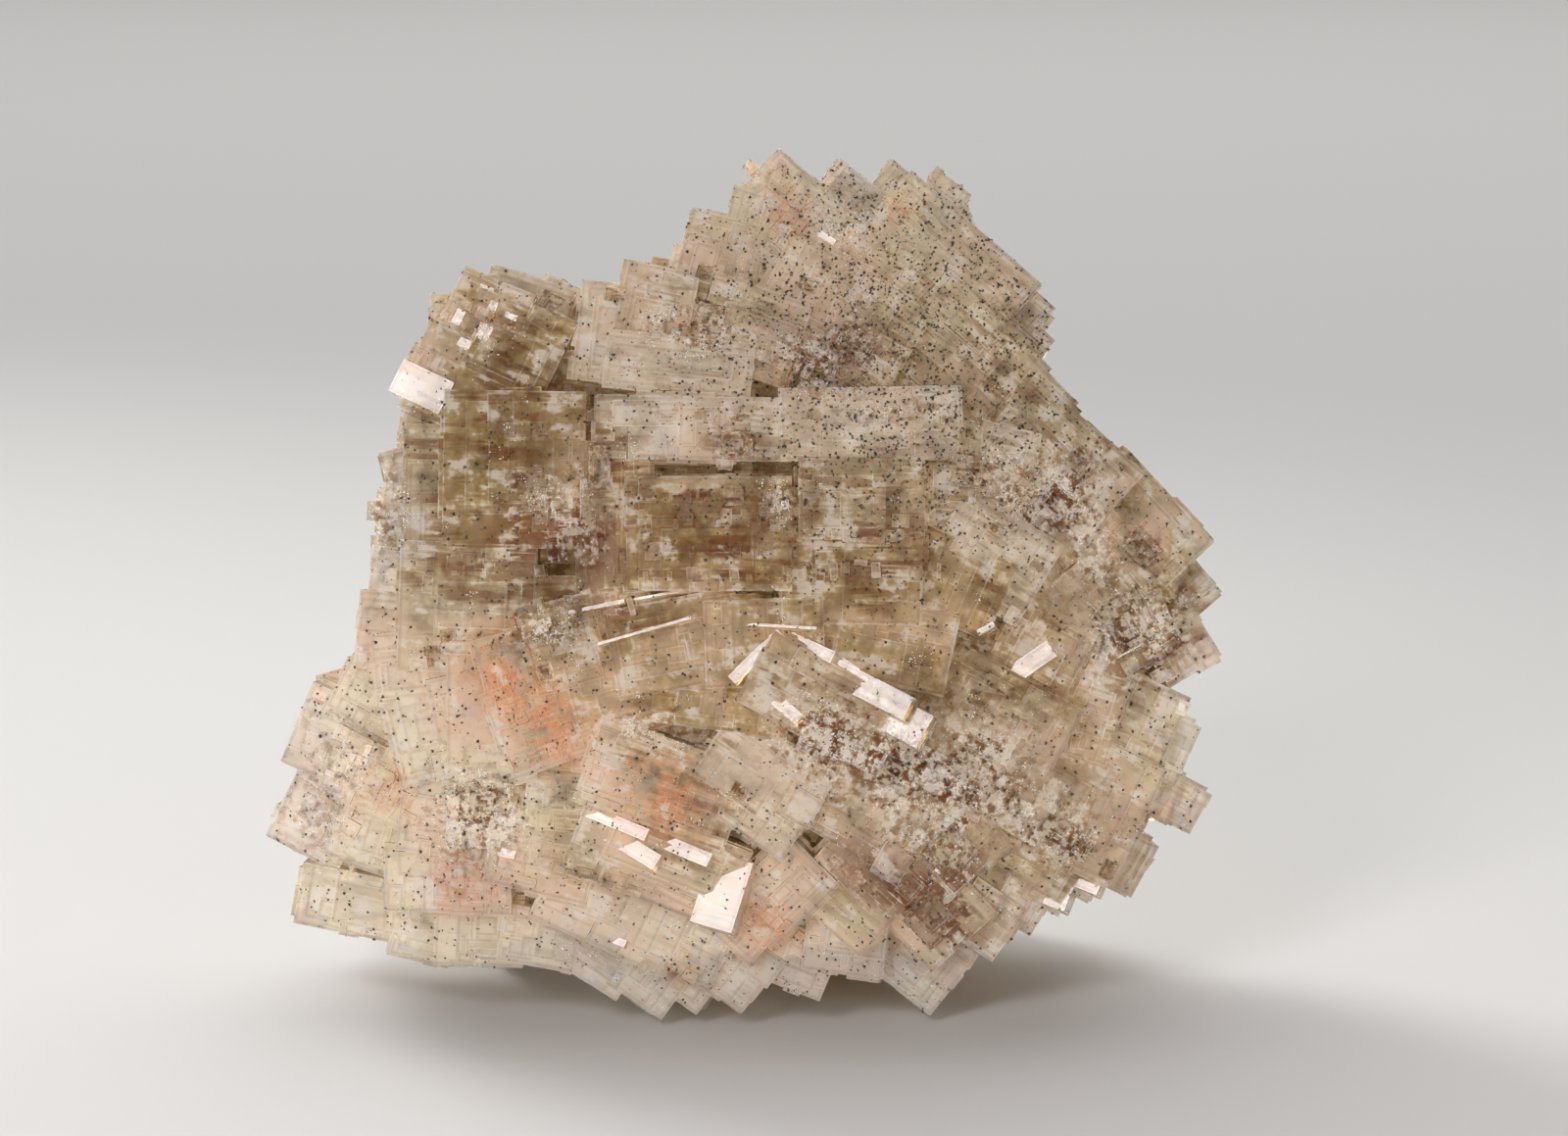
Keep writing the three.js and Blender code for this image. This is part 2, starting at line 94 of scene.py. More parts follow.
# right, up, width, height, turn, proud, tint
CRYSTALS: tuple[tuple, ...] = (
    # left shoulder
    (-21.6, 55.8, 10.8, 12.9, 25, 1.0, B),
    (-18.6, 61.0, 7.5, 5.0, 18, -1.5, C),
    (-16.5, 60.8, 3.6, 5.0, 28, -2.5, P),
    (-27.0, 55.2, 3.5, 5.5, 27, -1.0, T),
    (-26.6, 51.0, 5.0, 4.5, 12, -1.5, C),
    # left column
    (-28.0, 47.0, 5.2, 4.2, -15, -0.5, C),
    (-28.7, 42.4, 5.0, 6.0, 3, -1.5, W),
    (-28.6, 37.8, 6.4, 5.0, 6, -1.0, C),
    (-29.2, 33.2, 7.2, 6.6, 5, -0.5, P),
    (-19.3, 47.0, 12.0, 13.0, 1, 0.8, B),
    (-26.2, 43.5, 5.0, 14.5, 1, 0.2, T),
    (-23.3, 35.3, 11.6, 11.0, 2, 0.2, T),
    (-14.2, 45.2, 4.5, 8.0, 0, 0.0, B),
    # centre
    (-10.8, 41.5, 5.8, 12.5, 0, 0.2, O),
    (-2.9, 41.5, 13.8, 9.6, 0, 0.9, B),
    (9.8, 44.4, 10.6, 6.8, 0, 1.2, T),
    (9.0, 37.7, 11.8, 7.6, 1, 0.5, O),
    (-4.6, 50.3, 15.5, 5.4, 1, 0.9, C),
    (10.4, 50.7, 15.0, 6.2, -1, 1.2, C),
    (17.0, 46.8, 5.8, 9.2, 2, 0.4, T),
    (-13.3, 32.7, 10.0, 7.6, -14, 0.5, B),
    (-5.8, 32.3, 10.8, 7.6, -11, 0.3, O),
    (1.7, 32.4, 10.0, 7.4, -2, 0.4, O),
    (-2.0, 28.0, 12.0, 6.0, 8, 0.0, O),
    (-10.0, 27.5, 11.0, 6.0, -16, 0.1, O),
    (11.5, 32.5, 12.0, 7.0, 12, 0.4, O),
    (17.5, 37.5, 9.0, 7.0, 24, 0.3, O),
    # upper middle
    (-10.9, 58.4, 6.5, 8.6, 6, -0.4, C),
    (-7.6, 59.9, 6.2, 8.4, 12, 0.1, T),
    (-2.8, 63.6, 6.0, 9.8, 15, 0.0, T),
    (-4.6, 61.8, 4.6, 7.8, 15, -0.8, C),
    (0.6, 65.8, 5.4, 9.5, 14, 0.2, P),
    (-5.5, 55.6, 12.5, 5.0, 6, 0.3, C),
    (0.5, 58.6, 8.6, 7.5, 20, 0.3, T),
    (5.8, 61.0, 8.5, 9.0, 26, 0.5, T),
    # crown
    (3.2, 70.7, 5.1, 5.1, 42, 0.3, P),
    (5.8, 66.2, 8.5, 8.2, 38, 0.6, P),
    (8.6, 70.4, 4.6, 4.4, 38, -0.8, C),
    (13.0, 70.1, 5.0, 4.8, 40, -0.8, P),
    (16.4, 69.8, 3.8, 5.0, 38, -1.6, W),
    (15.6, 63.1, 14.5, 12.0, 42, 0.8, T),
    (9.8, 58.8, 9.4, 8.6, 32, 0.4, T),
    (18.6, 56.8, 10.4, 9.2, 40, 0.3, T),
    (22.6, 60.2, 5.0, 5.6, 42, -0.8, C),
    (24.3, 57.8, 2.8, 3.2, 44, -1.2, W),
    # right wing
    (22.8, 53.9, 6.5, 6.0, 46, -0.2, P),
    (26.5, 47.8, 12.5, 8.0, 42, 0.4, T),
    (33.4, 42.3, 11.0, 7.5, 47, 0.1, O),
    (25.6, 43.2, 8.0, 7.0, 40, 0.0, F),
    (21.0, 46.0, 6.0, 9.5, 14, 0.2, C),
    (35.9, 37.2, 7.0, 6.5, 50, -0.3, B),
    (32.3, 33.8, 7.6, 7.0, 60, 0.5, O),
    (36.8, 32.4, 6.2, 5.4, 58, -0.6, B),
    (31.0, 39.0, 7.0, 6.4, 48, 0.2, O),
    (20.8, 39.6, 9.6, 8.0, 32, 0.5, C),
    (27.0, 37.3, 6.8, 6.2, 52, 0.2, T),
    (25.2, 32.2, 7.4, 6.6, 28, 0.3, O),
    (28.8, 31.6, 4.6, 5.4, 24, 0.1, F),
    # lower right
    (7.3, 27.0, 14.6, 6.7, 29, 1.8, T),
    (21.2, 25.6, 12.0, 9.0, 29, 0.9, O),
    (29.3, 26.2, 5.0, 7.5, 18, 0.6, O),
    (33.6, 25.2, 6.0, 8.0, 25, 0.0, T),
    (35.8, 23.4, 4.6, 5.6, 25, -0.6, C),
    (36.6, 18.8, 5.6, 3.9, 28, -1.4, C),
    (28.5, 19.0, 11.0, 10.8, 26, 0.9, B),
    (31.8, 13.9, 5.6, 5.0, 28, -0.8, T),
    (28.4, 13.4, 5.0, 4.6, 29, 0.2, C),
    (25.8, 11.8, 4.4, 4.2, 29, 0.0, T),
    (23.6, 10.2, 4.2, 4.4, 30, -0.4, C),
    (20.4, 8.8, 5.2, 5.4, 34, -0.1, T),
    (17.1, 15.6, 7.4, 7.4, 46, 0.9, B),
    (15.9, 9.8, 8.0, 7.6, 47, 0.7, B),
    (14.5, 5.3, 8.0, 6.0, 38, -0.6, C),
    (24.4, 15.4, 8.4, 6.4, 30, 0.5, O),
    (10.4, 18.2, 10.0, 7.6, 31, 0.8, T),
    (9.4, 11.8, 8.6, 8.6, 42, 0.5, B),
    (15.6, 20.6, 9.0, 6.0, 30, 0.3, F),
    (22.6, 19.6, 8.0, 6.0, 30, 0.5, F),
    # lower middle
    (-6.8, 20.6, 13.4, 7.6, 20, 0.9, R),
    (-7.4, 14.2, 14.4, 7.2, 22, 1.6, T),
    (3.4, 12.0, 6.6, 6.6, 45, 0.7, P),
    (1.2, 20.6, 10.5, 8.8, 34, 0.6, C),
    (-7.9, 4.2, 6.0, 5.6, 36, -0.2, P),
    (-4.5, 3.8, 4.4, 4.8, 36, -0.5, C),
    (-0.8, 4.7, 5.6, 5.4, 38, 0.0, P),
    (4.6, 5.4, 6.0, 5.4, 22, -0.5, C),
    (8.6, 7.4, 7.0, 6.4, 8, 0.0, P),
    (-12.6, 5.6, 7.0, 4.6, 33, -0.3, P),
    (-11.2, 9.6, 12.6, 6.6, 25, 0.6, P),
    (-16.8, 15.4, 9.0, 8.6, 13, 0.5, T),
    (-5.2, 7.4, 8.0, 5.6, 28, 0.3, P),
    (0.2, 8.9, 5.6, 5.6, 42, 0.3, R),
    # lower left
    (-33.0, 9.8, 10.8, 5.4, 11, 0.3, P),
    (-27.6, 7.2, 5.4, 4.6, 13, -0.4, P),
    (-22.6, 7.6, 7.6, 5.8, 2, 0.1, R),
    (-17.4, 7.2, 6.8, 5.0, 10, 0.0, P),
    (-25.2, 12.2, 11.0, 5.8, 2, 0.5, R),
    (-36.4, 17.4, 7.0, 7.4, 27, -0.8, W),
    (-34.2, 23.8, 8.6, 7.4, 24, -0.3, W),
    (-31.9, 27.8, 5.8, 5.0, 28, -0.8, C),
    (-31.0, 20.4, 8.6, 6.0, 26, 0.3, P),
    (-30.6, 15.4, 9.6, 5.4, 18, 0.2, C),
    (-27.6, 25.6, 5.6, 10.4, -14, 0.2, C),
    (-23.4, 25.0, 5.0, 9.6, -12, 0.4, P),
    (-27.6, 30.6, 7.6, 5.6, -6, 0.0, C),
    (-25.6, 17.6, 7.4, 6.8, 8, 0.0, P),
    (-17.4, 25.6, 7.6, 7.8, -20, 0.9, R),
    (-18.4, 30.4, 7.6, 6.4, -14, 0.4, R),
    (-15.0, 20.0, 6.4, 6.6, 4, 0.0, T),
    (-21.6, 18.2, 7.0, 6.6, 4, 0.2, F),
)

# right, up, width, height, turn
ROOTS: tuple[tuple, ...] = (
    (-20.5, 52.5, 13, 15, 20), (-12, 48, 20, 18, 0), (7, 50, 24, 20, 0), (-2, 58, 14, 12, 10),
    (10, 62, 14, 13, 42), (20, 53, 13, 11, 42), (27, 43, 16, 12, 44), (30, 34, 12, 12, 45),
    (28, 23, 14, 16, 28), (14, 17, 22, 16, 32), (-3, 14, 22, 14, 24), (-8, 30, 34, 16, 0),
    (15, 32, 22, 18, 20), (-25, 36, 11, 18, 4), (-28, 20, 14, 14, 15), (-27, 12, 18, 7, 8),
    (-17, 14, 14, 12, 10), (-28.4, 27, 8, 9, 8), (18, 13, 10, 8, 34), (33, 20, 6, 6, 20),
)

# right, up, width, height, turn, outer depth, inner depth
FEET: tuple[tuple, ...] = (
    (-7.0, 5.0, 10.0, 14.0, 4, -5.0, -23.0), (1.0, 5.0, 7.0, 14.0, -3, -10.0, -25.5),
    (7.5, 6.0, 8.0, 14.0, 5, -15.5, -27.0), (14.5, 6.0, 8.0, 14.0, -4, -8.0, -24.0),
    (-15.5, 8.0, 9.0, 14.0, 3, -18.0, -27.0), (-23.0, 9.0, 8.0, 14.0, 6, -21.5, -28.0),
    (19.0, 8.4, 6.0, 12.8, 8, -20.0, -28.0),
)

# right, up, width, height, depth, turn
PITS: tuple[tuple, ...] = (
    (-22.2, 18.6, 3.2, 2.8, 1.6, 4), (-12.2, 47.0, 1.9, 3.8, 1.4, 0),
    (-0.8, 49.0, 2.8, 2.2, 1.2, 0), (-14.0, 40.6, 3.6, 4.0, 1.8, -6),
    (-3.2, 59.8, 2.6, 2.4, 1.6, 12), (9.4, 57.4, 3.2, 2.8, 1.8, 30),
    (18.8, 46.2, 2.8, 1.8, 1.2, 6), (26.4, 44.2, 3.4, 3.0, 1.6, 40),
    (28.2, 47.4, 2.4, 2.2, 1.4, 42), (33.4, 40.4, 3.0, 2.6, 1.5, 47),
    (32.4, 33.8, 4.4, 4.0, 1.8, 60), (12.6, 21.6, 4.2, 2.6, 1.2, 30),
    (19.4, 21.8, 4.4, 3.0, 1.4, 30), (26.8, 16.4, 3.8, 2.2, 1.2, 28),
    (17.2, 14.4, 3.6, 3.6, 1.6, 46), (16.0, 8.8, 3.4, 3.4, 1.5, 47),
)

# bright plates that mirror the key light: right, up, length, width, turn, plates in a row
GLINTS: tuple[tuple[float, ...], ...] = (
    (1.0, 31.3, 4.8, 1.2, -47, 1), (5.0, 32.3, 5.4, 1.2, 24, 1), (13.5, 25.8, 3.0, 3.0, 27, 1),
    (10.4, 28.6, 6.0, 2.0, 27, 1), (8.0, 30.7, 3.2, 1.0, 32, 1), (-8.3, 16.4, 10.8, 1.2, 22, 2),
    (-9.6, 15.4, 4.4, 1.3, 30, 1), (-1.9, 11.5, 2.9, 6.0, 15, 1), (24.2, 30.8, 3.6, 2.6, -35, 1),
    (26.6, 10.8, 1.6, 2.4, 20, 1), (29.3, 12.5, 1.8, 3.6, 20, 1), (-11.0, 7.3, 2.0, 0.7, 20, 1),
    (-27.2, 53.9, 4.2, 3.2, 25, 1), (-24.2, 57.8, 2.4, 0.8, 20, 1), (-12.3, 35.4, 4.8, 0.3, -13, 1),
    (-7.1, 36.4, 5.8, 0.26, -10, 1), (-8.3, 33.4, 7.0, 0.26, -17, 1), (1.3, 33.9, 9.0, 0.22, 3, 1),
    (3.6, 26.9, 2.2, 1.6, 40, 1), (20.2, 33.6, 1.2, 0.5, -30, 1), (32.4, 31.8, 2.0, 0.8, -30, 1),
    (-20.0, 14.6, 1.4, 0.8, 12, 1), (16.6, 13.8, 0.4, 2.6, 30, 1), (6.8, 66.6, 1.6, 0.8, 30, 1),
)


@dataclass(frozen=True)
class FaceShape:
    """The rounded face and back of the cluster, and how it stands. Millimetres and degrees."""

    lean_back: float = 10.0
    ground_drop: float = 0.7
    middle_up: float = 36.0
    half_width: float = 40.0
    half_height: float = 38.0
    face_rise: float = 14.0
    face_fall: float = 9.5
    face_follow: float = 0.3
    loose_tilt: float = 2.2
    back_rise: float = 25.0
    back_fall: float = 16.0
    back_middle_up: float = 26.0
    back_half_height: float = 48.0
    centre_shift: tuple[float, float] = (0.2377, -11.1597)

    def away(self, right: np.ndarray, up: np.ndarray) -> np.ndarray:
        """Distance from the middle of the face, 1 at the rim."""
        return np.hypot(right / self.half_width, (up - self.middle_up) / self.half_height)

    def face_depth(self, right: np.ndarray, up: np.ndarray) -> np.ndarray:
        """Depth of the rounded face, falling with the square of the distance from the middle."""
        return self.face_rise - self.face_fall * self.away(right, up) ** 2

    def back_depth(self, right: np.ndarray, up: np.ndarray) -> np.ndarray:
        """Depth of the rounded back behind the rim plane, by the same rule as the face."""
        off = np.hypot(right / self.half_width, (up - self.back_middle_up) / self.back_half_height)
        return self.back_rise - self.back_fall * off**2

    def tilt(self, right: np.ndarray, up: np.ndarray, index: np.ndarray) -> tuple:
        """Pitch and yaw of the crystals.

        Args:
            right: Places along the face.
            up: Places up the face.
            index: Number of each crystal, which sets its small loose tilt.

        Returns:
            Pitch and yaw in radians, part of the dome's slope plus the loose tilt.
        """
        sideways = 2 * self.face_fall * right / self.half_width**2
        upward = 2 * self.face_fall * (up - self.middle_up) / self.half_height**2
        loose = np.radians(self.loose_tilt)
        pitch = -np.arctan(upward) * self.face_follow + loose * spread(index, 5)
        yaw = np.arctan(sideways) * self.face_follow + loose * spread(index, 6)
        return pitch, yaw

    def stand_up(self, points: np.ndarray) -> np.ndarray:
        """Turns face-plane points into the object's frame.

        Args:
            points: Right, up and depth in millimetres, shape (..., 3).

        Returns:
            Metres in the frame: the face plane stood up, leant back and centred on the floor.
        """
        lean = np.radians(self.lean_back)
        right, up, depth = points[..., 0], points[..., 1], points[..., 2]
        x = right + self.centre_shift[0]
        y = up * np.sin(lean) - depth * np.cos(lean) + self.centre_shift[1]
        z = up * np.cos(lean) + depth * np.sin(lean) - self.ground_drop
        return np.stack([x, y, z], axis=-1) * MM

    def laid_back(self, place: tuple[float, float, float]) -> np.ndarray:
        """Turns a place in the object's frame into a face-plane point.

        Args:
            place: Metres in the frame.

        Returns:
            Right, up and depth in millimetres.
        """
        lean = np.radians(self.lean_back)
        x, y, z = np.array(place) / MM
        y, z = y - self.centre_shift[1], z + self.ground_drop
        return np.array([x - self.centre_shift[0], y * np.sin(lean) + z * np.cos(lean),
                         z * np.sin(lean) - y * np.cos(lean)])


def spread(index: np.ndarray, use: int) -> np.ndarray:
    """Repeatable value between -1 and 1 for each crystal: the fraction of a large sine."""
    wave = np.sin(np.asarray(index, float) * 12.9898 + use * 78.233) * 43758.5453
    return 2 * (wave - np.floor(wave)) - 1


def slid(right: np.ndarray, up: np.ndarray, turn: np.ndarray, along: np.ndarray,
         across: np.ndarray) -> tuple[np.ndarray, np.ndarray]:
    """Moves places on the face plane by steps along and across a turned frame.

    Args:
        right: Places along the face.
        up: Places up the face.
        turn: Clockwise turn of the frame in degrees.
        along: Steps along the frame.
        across: Steps across it.

    Returns:
        The new right and up.
    """
    angle = -np.radians(turn)
    return (right + along * np.cos(angle) - across * np.sin(angle),
            up + along * np.sin(angle) + across * np.cos(angle))


def turned(roll: np.ndarray, pitch: np.ndarray, yaw: np.ndarray) -> np.ndarray:
    """Rotation matrices that roll about depth, then pitch about right, then yaw about up.

    Args:
        roll: Anticlockwise roll in radians, shape (n,).
        pitch: Pitch in radians, shape (n,).
        yaw: Yaw in radians, shape (n,).

    Returns:
        Matrices of shape (n, 3, 3).
    """
    roll, pitch, yaw = np.broadcast_arrays(*map(np.atleast_1d, (roll, pitch, yaw)))
    one, nil = np.ones_like(roll, float), np.zeros_like(roll, float)
    c, s = np.cos(roll), np.sin(roll)
    about_depth = np.stack([c, -s, nil, s, c, nil, nil, nil, one], -1).reshape(-1, 3, 3)
    c, s = np.cos(pitch), np.sin(pitch)
    about_right = np.stack([one, nil, nil, nil, c, -s, nil, s, c], -1).reshape(-1, 3, 3)
    c, s = np.cos(yaw), np.sin(yaw)
    about_up = np.stack([c, nil, s, nil, one, nil, -s, nil, c], -1).reshape(-1, 3, 3)
    return about_up @ about_right @ about_depth


class Stain(Enum):
    """What a cloud is: orange or red-brown grains, white snow on the skin, or a spot of painted
    shade.
    """

    ORANGE = "orange"
    RED_BROWN = "red_brown"
    SNOW = "snow"
    DUSK = "dusk"


N, D, S, K = Stain.ORANGE, Stain.RED_BROWN, Stain.SNOW, Stain.DUSK

# clouds of grains, snow or painted shade: right, up, turn, reach along, reach across, share, stain
CLOUDS: tuple[tuple, ...] = (
    (-20.4, 30.3, -14, 2.2, 1.6, 1.0, N), (-18.3, 28.0, -18, 2.0, 1.6, 1.0, N),
    (-15.8, 24.8, -20, 2.6, 1.4, 1.2, N), (2.5, 71.2, 42, 1.0, 0.7, 0.5, N),
    (3.6, 68.0, 38, 1.6, 1.3, 0.8, N), (-21.7, 59.8, 25, 2.0, 1.0, 0.6, N),
    (-6.7, 19.6, 20, 3.8, 1.3, 1.4, N), (1.7, 8.4, 42, 1.8, 1.6, 0.9, N),
    (-30.5, 20.8, 25, 2.4, 1.2, 0.6, N), (-23.6, 12.0, 2, 2.6, 1.0, 0.8, N),
    (-5.8, 4.8, 30, 1.8, 0.9, 0.5, N), (13.4, 69.2, 40, 1.4, 0.8, 0.4, N),
    (-12.3, 46.8, 0, 0.6, 2.2, 0.8, D), (-0.8, 48.8, 4, 1.6, 1.0, 0.8, D),
    (-14.2, 40.7, -6, 2.2, 1.7, 1.5, D), (-13.3, 34.8, -14, 1.6, 1.0, 0.8, D),
    (-24.4, 38.8, 0, 1.6, 0.7, 0.5, D), (-3.3, 59.8, 12, 1.2, 1.0, 0.7, D),
    (6.0, 56.6, 30, 1.6, 1.2, 0.8, D), (9.8, 57.0, 30, 1.6, 1.5, 0.9, D),
    (18.9, 46.3, 6, 1.4, 0.8, 0.6, D), (26.7, 44.2, 40, 1.6, 1.4, 0.8, D),
    (28.3, 46.9, 40, 1.2, 0.8, 0.5, D), (33.8, 40.6, 47, 1.6, 1.0, 0.7, D),
    (16.0, 10.6, 46, 3.0, 2.2, 1.6, D), (7.1, 24.2, 29, 1.6, 1.0, 0.6, D),
    (12.9, 21.6, 30, 3.0, 0.9, 1.0, D), (19.4, 21.4, 30, 2.4, 1.0, 0.9, D),
    (27.0, 16.2, 28, 2.6, 0.8, 0.7, D), (-22.4, 18.6, 4, 1.0, 1.0, 0.7, D),
    (-2.9, 44.6, 0, 4.6, 0.35, 1.2, D), (-3.6, 42.6, 0, 4.8, 0.3, 1.0, D),
    (-2.2, 40.2, 0, 4.6, 0.45, 1.2, D), (-2.9, 37.9, 0, 5.2, 0.3, 0.8, D),
    (8.4, 38.4, 1, 3.6, 0.3, 0.7, D), (9.6, 41.4, 0, 4.0, 0.3, 0.7, D),
    (-4.8, 51.2, 1, 5.4, 0.25, 0.6, D), (-19.0, 45.0, 0, 0.4, 4.4, 0.8, D),
    (-17.0, 47.6, 0, 0.35, 3.4, 0.6, D), (36.4, 31.4, -30, 3.2, 0.8, 0.7, D),
    (-12.0, 12.6, 14, 4.0, 0.5, 0.6, D), (9.6, 12.6, 42, 2.6, 1.2, 0.6, D),
    (6.7, 24.4, 30, 2.4, 1.6, 1.3, S), (11.7, 22.3, 30, 3.2, 1.8, 1.3, S),
    (19.6, 22.4, 30, 3.0, 2.4, 1.3, S), (27.1, 15.7, 28, 1.8, 1.4, 1.0, S),
    (-22.3, 17.6, 5, 2.4, 2.4, 1.2, S), (-16.7, 33.6, -14, 1.6, 1.4, 1.0, S),
    (-15.4, 44.0, 0, 1.4, 1.0, 0.9, S), (3.3, 44.0, 0, 1.2, 1.2, 0.8, S),
    (-5.0, 58.6, 12, 2.6, 1.2, 0.9, S), (5.8, 55.4, 30, 1.6, 1.2, 1.0, S),
    (26.7, 45.3, 40, 2.0, 1.8, 1.1, S), (33.8, 33.6, -30, 2.2, 1.8, 1.1, S),
    (29.6, 39.4, 42, 1.4, 1.2, 0.9, S), (9.2, 67.3, 36, 1.8, 1.4, 0.9, S),
    (-23.3, 58.6, 25, 2.0, 1.2, 0.35, S), (-33.3, 21.1, 25, 2.4, 2.0, 0.35, S),
    (-36.5, 17.0, 25, 2.2, 2.2, 0.35, S), (16.7, 15.3, 46, 1.8, 1.2, 0.9, S),
    (-30.5, 43.0, 0, 0.8, 2.6, 0.9, S), (21.2, 47.6, 6, 1.4, 0.9, 0.8, S),
    (13.0, 17.0, 44, 1.6, 1.0, 0.8, S), (-9.0, 25.6, 18, 1.4, 0.8, 0.8, S),
    (22.2, 44.6, 30, 1.4, 1.2, 0.8, S), (12.8, 51.8, 0, 3.4, 0.6, 0.7, S),
    # the K rows are spots of painted shade that darken and dull parts of the face
    (25.0, 17.5, 0, 5.5, 5.0, 0.9, K), (-22.5, 43.0, 0, 4.5, 7.0, 0.8, K),
    (-21.0, 54.5, 0, 4.5, 4.5, 0.8, K), (33.0, 33.5, 0, 4.5, 4.5, 0.7, K),
    (6.5, 16.0, 0, 4.0, 4.0, 0.5, K), (-6.0, 18.5, 0, 3.5, 3.5, 0.5, K),
    (6.0, 38.0, 0, 8.0, 5.0, 0.4, K),
)


def cloud_rows(*stains: Stain) -> np.ndarray:
    """The numbers of the clouds of these stains, one row for each."""
    return np.array([row[:6] for row in CLOUDS if row[6] in stains], float)


def stained(stain: Stain, right: np.ndarray, up: np.ndarray) -> np.ndarray:
    """How stained the face is at each place, 0 to 1.

    Each cloud is a bell curve in its own turned frame, and the curves add up.

    Args:
        stain: Which clouds are read.
        right: Places along the face.
        up: Places up the face, same shape.

    Returns:
        The sum of the bell curves, at most 1.
    """
    rows = cloud_rows(stain)
    angle = np.radians(rows[:, 2])
    off, over = right[..., None] - rows[:, 0], up[..., None] - rows[:, 1]
    long_way = (off * np.cos(angle) - over * np.sin(angle)) / rows[:, 3]
    wide_way = (off * np.sin(angle) + over * np.cos(angle)) / rows[:, 4]
    bell = np.exp(-0.5 * (long_way**2 + wide_way**2)) * rows[:, 5]
    return np.minimum(bell.sum(-1), 1.0)


# corners of a box as signs, its faces wound outward, and the two axes that each face lies along
BOX_SIGNS = np.array([[x, y, z] for z in (-1, 1) for y in (-1, 1) for x in (-1, 1)], float)
BOX_FACES = np.array([[0, 2, 3, 1], [4, 5, 7, 6], [0, 1, 5, 4],
                      [2, 6, 7, 3], [0, 4, 6, 2], [1, 3, 7, 5]])
BOX_AXES = np.array([[0, 1], [0, 1], [0, 2], [0, 2], [1, 2], [1, 2]])


